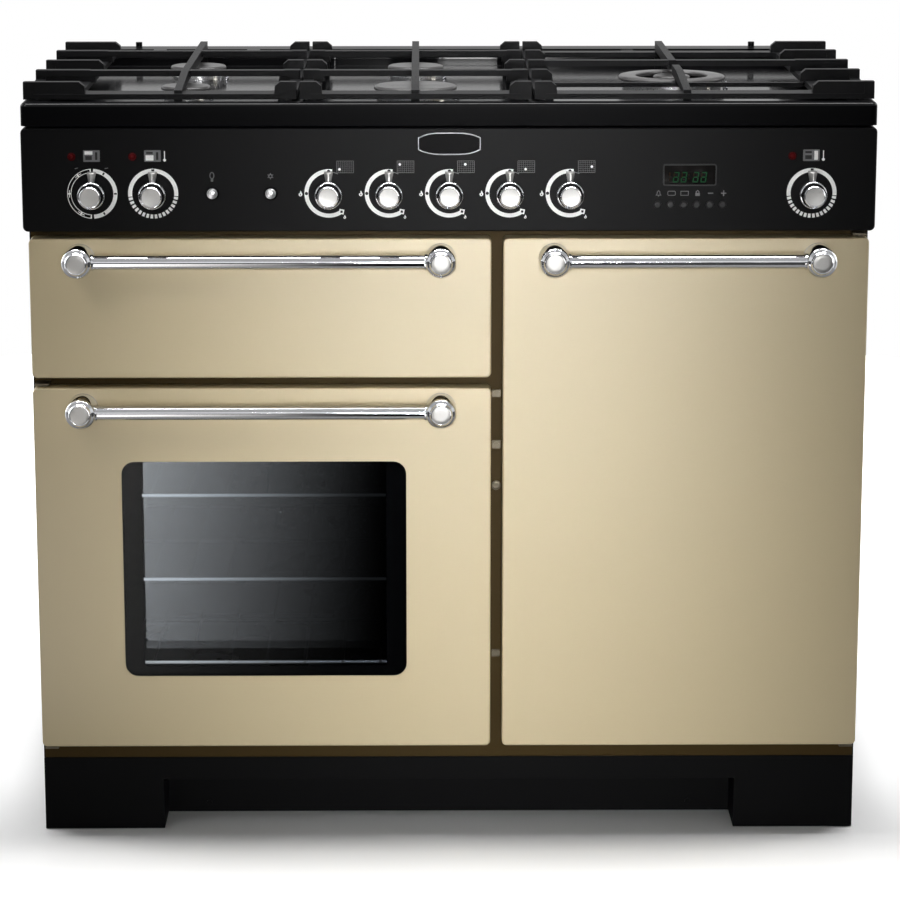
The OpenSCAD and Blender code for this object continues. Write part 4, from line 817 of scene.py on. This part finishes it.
class COOKER_OT_inside(CookerStep):
    """Finish the cavities, shelves, elements, fans and gas parts"""

    bl_idname = "cooker.inside"
    bl_label = "Inside"

    def build(self, scene):
        for node in ("grill_liner", "left_oven_liner", "right_oven_liner", "grill_pan"):
            dress(node, "liner_enamel")
        for node in ("shelf_racks", "right_shelf_1", "right_shelf_2"):
            dress(node, "shelf_chrome")
        # The left oven's shelves carry a painted highlight on their front wires.
        for node in ("left_shelf_1", "left_shelf_2", "left_shelf_3"):
            dress(node, "shelf_wire_painted_highlight")
        dress("heating_elements", "element_steel")
        dress("fan_housings", "liner_enamel")
        dress("left_fan", "shelf_chrome")
        dress("right_fan", "shelf_chrome")
        dress("gas_rail", "brass_pipe")
        dress("control_electrics", "black_plastic")


class COOKER_OT_handles(CookerStep):
    """Build the three door handles"""

    bl_idname = "cooker.handles"
    bl_label = "Handles"

    def build(self, scene):
        for node, body in (("grill_door_handle", "grill_door_body"),
                           ("left_door_handle", "left_door_body"),
                           ("right_door_handle", "right_door_body")):
            low, high = span(node)
            r = (high.z - low.z) / 2
            z = (low.z + high.z) / 2
            root = high.y
            axis_y = root - 30
            reach = high.y - low.y
            ends = (low.x + r, high.x - r)
            shape = Shape()
            for x in ends:
                shape.turn((x, root, z), [
                    (0, 0), (r - 0.6, 0), (r, 0.8), (r, 3.2), (r - 0.9, 3.6), (r - 0.9, 4.4),
                    (r, 4.8), (r, reach - 8.5), (r - 0.5, reach - 6.6), (r - 1.8, reach - 4.8),
                    (r - 3.6, reach - 3.6), (13.6, reach - 2.8), (13.1, reach - 2.2),
                    (12.6, reach - 0.7), (11.8, reach), (11.2, reach - 0.3), (0, reach - 0.4)])
                shape.finish = 1
                shape.turn((x, root, z), [(0, reach - 1), (11, reach - 1), (11, reach - 0.2),
                                          (10.6, reach), (6, reach - 0.06), (0, reach - 0.1)])
                shape.finish = 0
            bar, length = 8.25, ends[1] - ends[0]
            shape.turn((ends[0], axis_y, z), [(0, 0), (bar, 0), (bar, 10), (bar, length - 10),
                                              (bar, length), (0, length)], (1, 0, 0))
            for x, way in ((ends[0], 1), (ends[1], -1)):
                shape.turn((x + way * (r - 1), axis_y, z), [
                    (0, -3), (9.6, -3), (9.6, 1.4), (9.1, 2.2), (8.2, 2.5), (0, 2.5)], (way, 0, 0))
            made = shape.piece(node + "_bar", body, ["chrome", "satin"], slot="handle_chrome")
            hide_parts(node)


class COOKER_OT_knobs(CookerStep):
    """Build the eight turned knobs"""

    bl_idname = "cooker.knobs"
    bl_label = "Knobs"

    def build(self, scene):
        data = None
        for node in KNOBS:
            x = middle_x(node)
            if data is None:
                shape = self.knob_shape()
                made = shape.piece(node + "_turned", node + "_body",
                                   ["chrome", "satin", "black_plastic"], (x, FACE_Y, KNOB_Z),
                                   slot="knob_chrome")
                data = made.data
            else:
                made = bpy.data.objects.new(node + "_turned", data)
                made.location = Vector((x, FACE_Y, KNOB_Z)) * 0.001
                scene.collection.objects.link(made)
                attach(made, node + "_body")
            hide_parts(node)

    def knob_shape(self):
        """One knob about its own axis, facing forwards."""
        shape = Shape()
        shape.turn((0, 0, 0), [
            (0, 0.8), (14.6, 0.8), (15.6, 1.4), (15.6, 4), (16, 4.6), (16, 20.4), (15.8, 21.4),
            (15.2, 22.2), (14.4, 22.6), (13.9, 22.2), (13.7, 20.5), (12.8, 19.8), (0, 19.8)])
        shape.finish = 2
        shape.turn((0, 0, 0), [(0, 19.2), (13.2, 19.2), (13.2, 20.6), (12.4, 21), (12.2, 30.6),
                               (0, 30.6)])
        shape.finish = 0
        shape.turn((0, 0, 0), [(0, 30), (12.2, 30), (12.7, 30.8), (12.7, 33), (12.3, 34.2),
                               (11.6, 34.9), (11.1, 34.6), (0, 34.2)])
        shape.finish = 1
        shape.turn((0, 0, 0), [(0, 34), (11, 34), (11, 34.55), (10.6, 34.8), (6, 34.55),
                               (0, 34.45)])
        stations = [(9, 5.6), (14, 6.0), (18, 7.4), (22, 9.0), (25, 10.2), (26, 9.6)]
        loops = []
        for z, width in stations:
            ridge = 15.2 - max(0, z - 16) * 0.25
            crest = ridge - (1.4 if z == 26 else 0)
            h = width / 2
            loops.append([(-h, -2.6, z), (-h, -ridge + 3.6, z), (-h * 0.72, -ridge + 2.2, z),
                          (-h * 0.16, -crest, z), (h * 0.16, -crest, z),
                          (h * 0.72, -ridge + 2.2, z), (h, -ridge + 3.6, z), (h, -2.6, z)])
        shape.skin(loops)
        return shape


class COOKER_OT_dials(CookerStep):
    """Print the dials round the knobs"""

    bl_idname = "cooker.dials"
    bl_label = "Dials"

    WHITE, BLACK, GREY = range(3)
    TOP = 0.12  # rise of black marks over the white ring

    def build(self, scene):
        fitting = scene.cooker_fitting
        self.outer = fitting.dial_radius
        self.width = fitting.dial_width
        shape = Print()
        for node in HOB_KNOBS:
            self.hob_dial(shape, (middle_x(node), KNOB_Z))
        self.grill_dial(shape, (middle_x("grill_knob"), KNOB_Z))
        for node in ("left_oven_knob", "right_oven_knob"):
            self.oven_dial(shape, (middle_x(node), KNOB_Z))
        made = shape.piece("dial_prints", "casing", ["dial_white", "mark_black", "mark_grey"],
                           slot="dial_white")
        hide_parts("dial_rings")

    def flame(self, shape, centre, height):
        """A flame: a white drop with a dark heart."""
        x, z = centre
        h = height / 2
        outline = [(0.05, 1.0), (0.32, 0.55), (0.42, 0.3), (0.62, 0.0), (0.66, -0.4), (0.45, -0.8),
                   (0.1, -1.0), (-0.3, -0.92), (-0.6, -0.6), (-0.62, -0.2), (-0.42, 0.15),
                   (-0.3, -0.1), (-0.12, 0.3), (-0.1, 0.7)]
        heart = [(0.03, 0.0), (0.2, -0.28), (0.18, -0.55), (0.0, -0.7), (-0.18, -0.56),
                 (-0.15, -0.3)]
        for ink, points, rise in ((self.WHITE, outline, 0), (self.BLACK, heart, self.TOP)):
            shape.finish = ink
            shape.area([(x + a * h, z + b * h) for a, b in points], rise)

    def hob_dial(self, shape, centre):
        """A ring from off to low, with a diamond at its end and two flames beside it."""
        x, z = centre
        radius = self.outer - self.width / 2 - 0.8
        end = 4.85
        turned = hour_point(centre, radius, end)
        shape.finish = self.WHITE
        shape.arc(centre, radius, self.width, (5.0, 12.3), 64)
        shape.area([hour_point(turned, 4.0, end + k) for k in (0, 3, 6, 9)], 0.02)
        shape.finish = self.BLACK
        shape.area([hour_point(turned, 1.9, end + k) for k in (0, 3, 6, 9)], self.TOP)
        for hour in (0, 9):
            shape.dot(hour_point(centre, radius, hour), 1.9, self.TOP)
        shape.finish = self.GREY
        shape.arc(centre, radius - 0.8, 0.8, (12.35, 12.85))
        self.flame(shape, (x - 33, z), 6.8)
        self.flame(shape, (x + 18.4, z - 27.5), 4.6)

    def oven_dial(self, shape, centre):
        """A ring that is whole on the left and broken into blocks on the right."""
        radius = self.outer - self.width / 2
        shape.finish = self.WHITE
        shape.arc(centre, radius, self.width, (8.75, 15.2), 56)
        blocks = 16
        pitch = (8.75 - 3.2) / blocks
        for i in range(blocks):
            start = 3.2 + pitch * i + pitch * 0.18
            shape.arc(centre, radius, self.width, (start, start + pitch * 0.64), 3)
        shape.finish = self.BLACK
        shape.arc(centre, radius + 0.6, self.width * 0.55, (-0.12, 0.12), 3, self.TOP)

    def grill_dial(self, shape, centre):
        """A solid ring on the right and an open one on the left."""
        radius = self.outer - self.width / 2
        half = self.width / 2
        shape.finish = self.WHITE
        shape.arc(centre, radius, self.width, (0.1, 5.9), 48)
        for r in (radius + half - 0.35, radius - half + 0.35):
            shape.arc(centre, r, 0.7, (6.1, 11.9), 48)
        for hour in (6.13, 11.87):
            shape.arc(centre, radius, self.width, (hour - 0.05, hour + 0.05), 3)
        for hour in (7, 9, 10.75):
            shape.arc(centre, radius, self.width, (hour - 0.06, hour + 0.06), 3)
            shape.arc(centre, radius, 0.8, (hour - 0.3, hour + 0.3), 3)
        shape.finish = self.BLACK
        for hour in (1, 3, 5):
            shape.arc(centre, radius, self.width * 0.66, (hour - 0.07, hour + 0.07), 3, self.TOP)
        shape.finish = self.GREY
        for side in (-17.9, 16.9):
            x, z = centre[0] + side, centre[1] + 29.8
            shape.line([(x - 1.9, z - 0.4), (x + 1.9, z + 0.4)], 0.9)


class COOKER_OT_pictograms(CookerStep):
    """Print the pictograms above the knobs and buttons"""

    bl_idname = "cooker.pictograms"
    bl_label = "Pictograms"

    GREY, WHITE, BLACK = range(3)

    def build(self, scene):
        shape = Print()
        left, right = middle_x("left_oven_knob"), middle_x("right_oven_knob")
        self.plan(shape, middle_x("grill_knob"), "upper")
        self.plan(shape, left, "lower")
        self.thermometer(shape, left + 14, PLAN_Z)
        self.plan(shape, right - 1.2, "right")
        self.thermometer(shape, right + 12.8, PLAN_Z)
        places = [(-0.68, -0.42), (-0.68, 0.42), (-0.08, 0.42), (-0.08, -0.42), (0.62, 0.0)]
        for node, place in zip(HOB_KNOBS, places):
            self.burner_map(shape, middle_x(node) + 19.3, MAP_Z, place)
        self.bulb(shape, middle_x("light_button"), SIGN_Z)
        self.spark(shape, middle_x("spark_button"), SIGN_Z)
        shape.piece("panel_pictograms", "casing", ["mark_grey", "dial_white", "mark_black"],
                    slot="dial_white")

    def plan(self, shape, x, chosen):
        """A grey front of the cooker with its three cavities dark and the chosen one white."""
        w, h, z = 9.65, 6.7, PLAN_Z
        shape.finish = self.GREY
        shape.area(rounded(x - w, z - h, x + w, z + h, 0.8, 3))
        spans = {"upper": (x - w + 2.4, z + h - 4.2, x + 0.4, z + h - 1.8),
                 "lower": (x - w + 2.4, z - h + 2.2, x + 0.4, z + h - 6.6),
                 "right": (x + w - 5.5, z - h + 2.2, x + w - 2.8, z + h - 2.2)}
        for name, (x0, z0, x1, z1) in spans.items():
            more = 0.8 if name == chosen else 0.0
            shape.finish = self.WHITE if name == chosen else self.BLACK
            shape.area(corners(x0 - more, z0 - more, x1 + more, z1 + more), 0.05)

    def thermometer(self, shape, x, z):
        shape.finish = self.WHITE
        shape.line([(x, z - 4), (x, z + 5.6)], 1.1)
        shape.dot((x, z - 4.8), 1.7, steps=16)

    def burner_map(self, shape, x, z, place):
        """The hob seen from above as a fine grid, with a dot at one burner."""
        w, h = 9.75, 6.85
        shape.finish = self.GREY
        shape.line(corners(x - w, z - h, x + w, z + h), 0.45, True)
        for k in range(1, 9):
            line = x - w + 2 * w * k / 9
            shape.line([(line, z - h), (line, z + h)], 0.22)
        for k in range(1, 6):
            line = z - h + 2 * h * k / 6
            shape.line([(x - w, line), (x + w, line)], 0.22)
        shape.finish = self.WHITE
        shape.dot((x + place[0] * w, z + place[1] * h), 1.5, 0.05)

    def bulb(self, shape, x, z):
        """A lamp bulb standing on its cap."""
        shape.finish = self.GREY
        ring = [(x + 2.3 * math.sin(a), z + 1.4 + 3.7 * math.cos(a))
                for a in (math.pi * k / 10 for k in range(20))]
        shape.line(ring, 1.1, True)
        shape.area(rounded(x - 1.4, z - 5.6, x + 1.4, z - 2.8, 0.5, 3), 0.02)

    def spark(self, shape, x, z):
        """A spark: a small ring with short rays."""
        centre = (x, z + 0.6)
        shape.arc(centre, 1.9, 1.0, (0, 12), 20)
        for hour in range(0, 12, 2):
            shape.line([hour_point(centre, 2.3, hour), hour_point(centre, 3.7, hour)], 0.7,
                       rise=0.02)


class COOKER_OT_buttons(CookerStep):
    """Build the push buttons, their bezels and the indicator lamps"""

    bl_idname = "cooker.buttons"
    bl_label = "Buttons and lamps"

    def build(self, scene):
        bezels = Shape()
        for node in ("light_button", "spark_button"):
            x = middle_x(node)
            bezels.finish = 0
            bezels.turn((x, FACE_Y, KNOB_Z), [
                (6, -0.3), (8.4, -0.3), (8.4, 0.5), (7.8, 1.3), (6.9, 1.7), (6, 1.8), (6, -0.3)])
            bezels.finish = 2
            bezels.turn((x, FACE_Y, KNOB_Z), [
                (5.05, -0.3), (6.1, -0.3), (6.1, 2.0), (5.9, 2.4), (5.5, 2.5), (5.15, 2.3),
                (5.05, 1.8), (5.05, -0.3)])
            shape = Shape()
            low, high = span(node)
            shape.turn((x, high.y, KNOB_Z), self.stem(high.y - low.y, 4.75))
            made = shape.piece(node + "_cap", node + "_body", ["button_chrome"],
                               slot="plate_chrome")
            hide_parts(node)
        bezels.finish = 1
        lamps = Shape()
        lamp_low, lamp_high = span("indicator_lamps")
        z = (lamp_low.z + lamp_high.z) / 2
        proud = FACE_Y - lamp_low.y
        knobs = [middle_x(n) for n in ("grill_knob", "left_oven_knob", "right_oven_knob")]
        for x in self.lamp_places(knobs, lamp_low, lamp_high):
            lamps.turn((x, FACE_Y, z), [(0, -1.5), (3.7, -1.5), (3.7, 0.4), (3.5, proud * 0.55),
                                        (2.7, proud * 0.82), (1.4, proud * 0.97), (0, proud)])
            bezels.turn((x, FACE_Y, z), [(3.75, -0.3), (4.7, -0.3), (4.7, 0.5), (4.35, 0.95),
                                         (3.95, 0.95), (3.75, 0.5), (3.75, -0.3)])
        made = lamps.piece("lamp_lenses", "casing", ["lamp_red"], slot="lamp_red")
        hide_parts("indicator_lamps")
        bezels.piece("panel_bezels", "casing", ["border_black", "lamp_red", "button_chrome"])

    def lamp_places(self, knobs, low, high):
        """The lamps stand as far left of each knob as the outermost one does."""
        shift = (low.x + high.x) / 2 - (knobs[0] + knobs[-1]) / 2
        return [x + shift for x in knobs]

    def stem(self, length, radius):
        """A button's profile, from its stem inside to its domed face."""
        dome = [(radius * math.sin(a), length - 1.7 * (1 - math.cos(a)))
                for a in (math.pi / 2 * k / 8 for k in range(8, 0, -1))]
        return [(0, 0), (1.5, 0), (1.5, 5), (radius + 1.4, 5.4), (radius + 1.4, 6.6),
                (radius, 6.8), *dome, (0, length)]


class COOKER_OT_clock(CookerStep):
    """Build the clock's display, icons and round buttons"""

    bl_idname = "cooker.clock"
    bl_label = "Clock"

    def build(self, scene):
        window = Print()
        frame_line = rounded(249.8, 800.4, 311.0, 824.6, 2.6)
        window.area(frame_line, 0.35)
        window.finish = 1
        window.line(frame_line, 1.5, True, 0.8)
        window.piece("clock_window", "casing", ["display_black", "button_black"])
        digits = Print()
        for x in (260.2, 269.4, 283.2, 292.4):
            self.digit(digits, x, 803.8)
        digits.finish = 1
        for x, z, w, h, r in ((278.4, 807.2, 1.8, 1.8, 0.5), (278.4, 812.0, 1.8, 1.8, 0.5),
                              (256.2, 805.0, 1.4, 4.2, 0.4), (256.2, 811.4, 1.4, 4.2, 0.4)):
            digits.area(rounded(x, z, x + w, z + h, r, 2), DIGIT_RISE)
        digits.piece("clock_digits", "casing", ["digit_green", "digit_ghost"])
        self.icons()
        for i in range(1, 7):
            node = f"clock_button_{i}"
            low, high = span(node)
            x, z = middle(node)
            length = high.y - low.y
            shape = Shape()
            shape.turn((x, high.y, z), [
                (0, 0), (1.5, 0), (1.5, 2.6), (5.6, 3.0), (5.6, 4.0), (4.6, 4.2),
                (4.6, length - 1.5), (4.45, length - 0.95), (4.1, length - 0.5),
                (3.6, length - 0.2), (2.9, length - 0.04), (2.2, length), (0, length)], steps=40)
            made = shape.piece(node + "_cap", node + "_body", ["button_black"],
                               slot="black_plastic")
            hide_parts(node)

    def digit(self, shape, x, z):
        """Seven slanted segments, all lit but the upper left one."""
        w, h, t = 6.6, 12.2, 1.35
        slant = 0.13
        g = 0.35
        bars = {"low": [(g, 0), (w - g, 0), (w - t, t), (t, t)],
                "mid": [(g + 0.6, h / 2), (t, h / 2 - t / 2), (w - t, h / 2 - t / 2),
                        (w - g - 0.6, h / 2), (w - t, h / 2 + t / 2), (t, h / 2 + t / 2)],
                "top": [(t, h - t), (w - t, h - t), (w - g, h), (g, h)],
                "low_left": [(0, g), (t, t + g), (t, h / 2 - t / 2 - g), (0, h / 2 - g)],
                "top_left": [(0, h / 2 + g), (t, h / 2 + t / 2 + g), (t, h - t - g), (0, h - g)],
                "low_right": [(w - t, t + g), (w, g), (w, h / 2 - g), (w - t, h / 2 - t / 2 - g)],
                "top_right": [(w - t, h / 2 + t / 2 + g), (w, h / 2 + g), (w, h - g),
                              (w - t, h - t - g)]}
        for name, outline in bars.items():
            shape.finish = 1 if name == "top_left" else 0
            shape.area([(x + a + slant * b, z + b) for a, b in outline], DIGIT_RISE)

    def icons(self):
        """A row of small pictures above the buttons."""
        shape = Print()
        xs = [middle_x(f"clock_button_{i}") + 0.9 for i in range(1, 7)]
        z = ICON_Z
        x = xs[0]
        shape.line([(x - 2.8, z - 2.2), (x - 1.8, z - 0.8), (x - 1.4, z + 1.8), (x, z + 3.0),
                    (x + 1.4, z + 1.8), (x + 1.8, z - 0.8), (x + 2.8, z - 2.2)], 0.8, True)
        shape.dot((x, z - 3.1), 0.7, steps=12)
        shape.line(rounded(xs[1] - 4.4, z - 2.4, xs[1] + 4.4, z + 2.4, 1.2, 3), 0.8, True)
        shape.line(corners(xs[2] - 4.4, z - 2.4, xs[2] + 4.4, z + 2.4), 0.7, True)
        x = xs[3]
        shape.area(corners(x - 2.6, z - 3.1, x + 2.6, z + 0.4))
        shape.line([(x - 1.6, z), (x - 1.6, z + 2.0), (x, z + 3.2), (x + 1.6, z + 2.0),
                    (x + 1.6, z)], 0.8)
        for x in xs[4:]:
            shape.area(rounded(x - 3.1, z - 0.65, x + 3.1, z + 0.65, 0.3, 2))
        shape.area(rounded(xs[5] - 0.65, z - 3.4, xs[5] + 0.65, z + 3.4, 0.3, 2), 0.02)
        shape.piece("clock_icons", "casing", ["mark_grey"], slot="dial_white")


class COOKER_OT_burners(CookerStep):
    """Finish the burners and build their caps, spark pins and flame sensors"""

    bl_idname = "cooker.burners"
    bl_label = "Burners"

    def build(self, scene):
        dress("burner_heads", "burner_alloy", 0.35, 2, 35)
        low, high = span("burner_caps")
        base, thick = low.z, high.z - low.z
        small = [(-316, -125, 30), (-316, 106, 35.5), (-39.5, 106, 35.5), (-39.5, -125, 50)]
        shape = Shape()
        for x, y, r in small:
            shape.turn((x, y, base), self.cap_profile(r, thick), UP, 72)
        wok = (278, -13)
        shape.turn((*wok, base), self.cap_profile(23, thick), UP, 56)
        outer, inner = 66, 44
        shape.turn((*wok, base), [
            (inner, 0), (outer - 1.2, 0), (outer - 0.2, 0.6), (outer, 1.6),
            (outer - 0.4, thick - 1.6), (outer - 1.6, thick - 0.4), (outer - 3.4, thick),
            (inner + 2.6, thick), (inner + 1, thick - 0.5), (inner, thick - 1.8), (inner, 0)],
            UP, 96)
        made = shape.piece("burner_cap_discs", "casing", ["cap_enamel"], slot="cap_enamel")
        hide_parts("burner_caps")
        self.pins([(x, y, r - 5) for x, y, r in small] + [(*wok, 61)])

    def cap_profile(self, r, thick):
        return [(0, 0), (r - 1.4, 0), (r - 0.3, 0.5), (r, 1.5), (r - 0.3, thick - 2.0),
                (r - 1.2, thick - 0.7), (r - 2.8, thick - 0.1), (r - 5, thick - 0.05),
                (r - 6, thick - 0.35), (0, thick - 0.3)]

    def pins(self, burners):
        """A white spark pin with a metal tip, and a metal flame sensor, beside each burner."""
        pin = [(0, -0.5), (3.2, -0.5), (3.2, 1.2), (2.2, 2), (2.2, 7), (1.5, 7.8), (0, 7.8)]
        tip = [(0, 7), (0.7, 7), (0.7, 10.6), (0, 11)]
        sensor = [(0, -0.5), (3, -0.5), (3, 1.6), (1.7, 2.2), (1.7, 8.6), (1.2, 9.4), (0, 9.4)]
        shape = Shape()
        for x, y, r in burners:
            for turn, parts in ((-52, ((0, pin, 16), (1, tip, 10))), (-12, ((2, sensor, 16),))):
                a = math.radians(turn)
                foot = (x + (r + 6.2) * math.cos(a), y + (r + 6.2) * math.sin(a), WELL_Z)
                for shape.finish, profile, steps in parts:
                    shape.turn(foot, profile, UP, steps)
        shape.piece("burner_pins", "casing", ["ceramic", "shelf_chrome", "shelf_chrome"])


class COOKER_OT_supports(CookerStep):
    """Finish the three cast pan supports"""

    bl_idname = "cooker.supports"
    bl_label = "Pan supports"

    def build(self, scene):
        for node in ("left_pan_support", "centre_pan_support", "right_pan_support"):
            dress(node, "cast_iron", scene.cooker_fitting.cast_round, 3, 24)


class COOKER_OT_fixings(CookerStep):
    """Build the screws, the catches in the gap and the back panel's fixings"""

    bl_idname = "cooker.fixings"
    bl_label = "Fixings"

    def build(self, scene):
        shape = Shape()
        recess = span("plinth")[0].y + 65
        for x in (-298, 298):
            screw_head(shape, (x, recess, 12.7), 3.2)
        shape.piece("plinth_screws", "casing", ["black_plastic"])
        back = Shape()
        low, high = span("back_panel")
        rows = [(x, z) for x in (-478, -240, 0, 240, 478) for z in (low.z + 12, 840)]
        sides = [(x, z) for z in (230, 430, 640) for x in (-478, 478)]
        for x, z in rows + sides:
            screw_head(back, (x, high.y, z), 4, (0, 1, 0))
        back.piece("back_screws", "casing", ["shelf_chrome"])
        self.gap_details()

    def gap_details(self):
        """The catch roller and small plates seen between the doors."""
        face = span("front_frame")[0].y
        x = 56.5
        shape = Shape()
        shape.turn((x, face, 433), [(0, -0.3), (5.4, -0.3), (5.4, 3.5), (5.0, 4.2), (3.2, 4.4),
                                    (2.8, 3.8), (0, 3.6)], steps=28)
        for low, high in ((478, 488), (541, 550), (219, 228)):
            shape.plate(rounded(x - 5, low, x + 5, high, 1.5, 3), face - 1.4, face + 0.3)
        screw_head(shape, (x, face - 1.2, 483), 2.4)
        shape.piece("catch_plates", "casing", ["dark_fitting"])


class COOKER_OT_stage(CookerStep):
    """Set the floor, the studio light and the camera"""

    bl_idname = "cooker.stage"
    bl_label = "Stage"

    def build(self, scene):
        stage = scene.cooker_stage
        scene.view_settings.view_transform = "Standard"
        self.floor(scene)
        self.world(scene, stage)
        target = Vector((0, 0.2, 0.45))
        self.lamp("lamp_top", (0.05, -0.22, 3.1), Vector((0.05, -0.22, 0)), (3.0, 0.5),
                  stage.key)
        self.lamp("lamp_strip", (0.11, -3.2, 1.18), Vector((0.045, 0, 0.88)), (0.3, 2.0),
                  stage.strip, 24)
        self.lamp("lamp_fill", (-1.4, -1.6, 2.2), Vector((-0.5, -0.28, 0.8)), (0.5, 0.5),
                  stage.fill, 30)
        for name, x in (("lamp_left", -3.0), ("lamp_right", 3.0)):
            self.lamp(name, (x, 1.2, 1.5), target, (1.2, 2.2), stage.sides)
        self.card(scene)
        self.camera(scene, stage)

    def floor(self, scene):
        """A pale floor that shows white away from the cooker and keeps its shadow. A camera-only
        glow paints light on it beside and far from the cooker, and is left out under the plinth's
        recess as painted shade there.
        """
        sheet = Sheet(bpy.data.materials.new("stage_floor"))
        wear = sheet.noise(3, 4.0)
        path = sheet.add("ShaderNodeLightPath")
        base = sheet.blend(wear, tone(246, 246, 246), tone(250, 250, 250))
        base = sheet.blend(path, tone(140, 140, 140), base)
        plain = sheet.add("ShaderNodeBsdfPrincipled", {}, {"Base Color": base, "Roughness": 0.6})
        place = sheet.place()
        reach = sheet.reach(place)
        parts = sheet.axes(place)
        side = parts.join("ABSOLUTE", parts, 0.0)
        apart = sheet.spread(side, 0.5, 0.56)
        # Painted light and shade: a faint glow in front that stops under the plinth's recess, more
        # glow beside the cooker, full white far away.
        painted_floor_light = sheet.spread(parts.other("Y"), -0.34, -0.3, 0.06, 0.0)
        painted_floor_light = painted_floor_light + 0.36 * apart * sheet.spread(parts.other("Y"), -0.33, -0.05)
        painted_floor_light = painted_floor_light + 0.94 * sheet.spread(reach, 1.0, 1.8)
        glow = sheet.add("ShaderNodeEmission", {}, {"Color": WHITE_LIGHT, "Strength": path * painted_floor_light})
        material = sheet.close(sheet.add("ShaderNodeAddShader", {}, {0: plain, 1: glow}))
        outline = [(1.9 * math.cos(a), 0.95 + 2.1 * math.sin(a))
                   for a in (2 * math.pi * k / 96 for k in range(96))]
        self.slab(scene, "stage_floor", [(x, y, 0.0) for x, y in outline], material)

    def slab(self, scene, name, corners, material):
        """A flat piece of the stage."""
        data = bpy.data.meshes.new(name)
        data.from_pydata(corners, [], [list(range(len(corners)))])
        data.materials.append(material)
        made = bpy.data.objects.new(name, data)
        scene.collection.objects.link(made)
        return made

    def card(self, scene):
        """A reflector low in front on the left, which only glossy surfaces see. It gives the
        oven window its sheen."""
        sheet = Sheet(bpy.data.materials.new("stage_card"))
        across = sheet.axes()
        fade = sheet.spread(across, -0.55, -0.08, 1.0, 0.0) ** 2
        path = sheet.add("ShaderNodeLightPath")
        glow = sheet.add("ShaderNodeEmission", {}, {"Color": (1.0, 0.97, 0.94),
                                                    "Strength": 2.45 * fade})
        clear = sheet.add("ShaderNodeBsdfTransparent")
        material = sheet.close(sheet.add("ShaderNodeMixShader", {}, {
            0: path.other("Is Glossy Ray"), 1: clear, 2: glow}))
        outline = [(x, y, 0.003) for x, y in corners(-2.2, -2.9, 0.0, -0.75)]
        made = self.slab(scene, "stage_card", outline, material)
        made.visible_camera = made.visible_diffuse = made.visible_shadow = False

    def world(self, scene, stage):
        """White to the camera, and a soft room that is darker in front for everything else."""
        world = bpy.data.worlds.new("studio")
        scene.world = world
        sheet = Sheet(world)
        parts = sheet.axes(sheet.add("ShaderNodeTexCoord").other("Generated"))
        behind = sheet.spread(parts.other("Y"), -0.1, 0.35)
        above = sheet.spread(parts.other("Z"), 0.2, 0.9)
        path = sheet.add("ShaderNodeLightPath")
        mirrored = path.other("Is Glossy Ray") + path.other("Is Transmission Ray")
        low = sheet.spread(parts.other("Z"), 0.0, 0.08)
        middle = sheet.spread(parts.other("Z"), 0.3, 0.5, 1.0, 0.35)
        shiny = path.other("Is Glossy Ray") * low * middle
        room = (0.12 + 0.5 * behind + 0.35 * above) * stage.world + 0.8 * shiny
        soft = sheet.add("ShaderNodeBackground", {}, {"Color": WHITE_LIGHT, "Strength": room})
        white = sheet.add("ShaderNodeBackground", {}, {"Color": WHITE_LIGHT, "Strength": 1.0})
        both = sheet.add("ShaderNodeMixShader", {}, {0: path + mirrored * behind, 1: soft,
                                                     2: white})
        sheet.add("ShaderNodeOutputWorld", {}, {"Surface": both})

    def lamp(self, name, place, target, size, power, spread=180):
        """A rectangular soft lamp that the camera doesn't see."""
        data = bpy.data.lights.new(name, "AREA")
        data.shape = "RECTANGLE"
        data.size, data.size_y = size
        data.energy = power
        data.spread = math.radians(spread)
        lamp = bpy.data.objects.new(name, data)
        lamp.location = place
        lamp.rotation_euler = (target - Vector(place)).to_track_quat("-Z", "Y").to_euler()
        lamp.visible_camera = False
        bpy.context.scene.collection.objects.link(lamp)

    def camera(self, scene, stage):
        data = bpy.data.cameras.new("camera")
        data.sensor_width = 36
        data.lens = stage.lens
        data.clip_end = 60
        camera = bpy.data.objects.new("camera", data)
        camera.location = stage.camera_place
        camera.rotation_euler = (math.pi / 2 - stage.camera_tilt, 0, -stage.camera_turn)
        scene.collection.objects.link(camera)
        scene.camera = camera


STEPS = (COOKER_OT_casing, COOKER_OT_doors, COOKER_OT_inside, COOKER_OT_handles, COOKER_OT_knobs,
         COOKER_OT_dials, COOKER_OT_pictograms, COOKER_OT_buttons, COOKER_OT_clock,
         COOKER_OT_burners, COOKER_OT_supports, COOKER_OT_fixings, COOKER_OT_stage)


class COOKER_PT_panel(bpy.types.Panel):
    """The steps and settings that dress the cooker"""

    bl_label = "Range Cooker"
    bl_idname = "COOKER_PT_panel"
    bl_space_type = "VIEW_3D"
    bl_region_type = "UI"
    bl_category = "Cooker"

    def draw(self, context):
        scene = context.scene
        for step in STEPS:
            self.layout.operator(step.bl_idname)
        for group in (scene.cooker_finish, scene.cooker_fitting, scene.cooker_stage):
            box = self.layout.box()
            for name in group.__annotations__:
                box.prop(group, name)


CLASSES = (CookerFinishSettings, CookerFittingSettings, CookerStageSettings, *STEPS,
           COOKER_PT_panel)


def register():
    for each in CLASSES:
        bpy.utils.register_class(each)
    bpy.types.Scene.cooker_finish = PointerProperty(type=CookerFinishSettings)
    bpy.types.Scene.cooker_fitting = PointerProperty(type=CookerFittingSettings)
    bpy.types.Scene.cooker_stage = PointerProperty(type=CookerStageSettings)


def unregister():
    del bpy.types.Scene.cooker_stage
    del bpy.types.Scene.cooker_fitting
    del bpy.types.Scene.cooker_finish
    for each in reversed(CLASSES):
        bpy.utils.unregister_class(each)


def main():
    register()
    for step in STEPS:
        group, name = step.bl_idname.split(".")
        getattr(getattr(bpy.ops, group), name)()


if __name__ == "__main__":
    main()
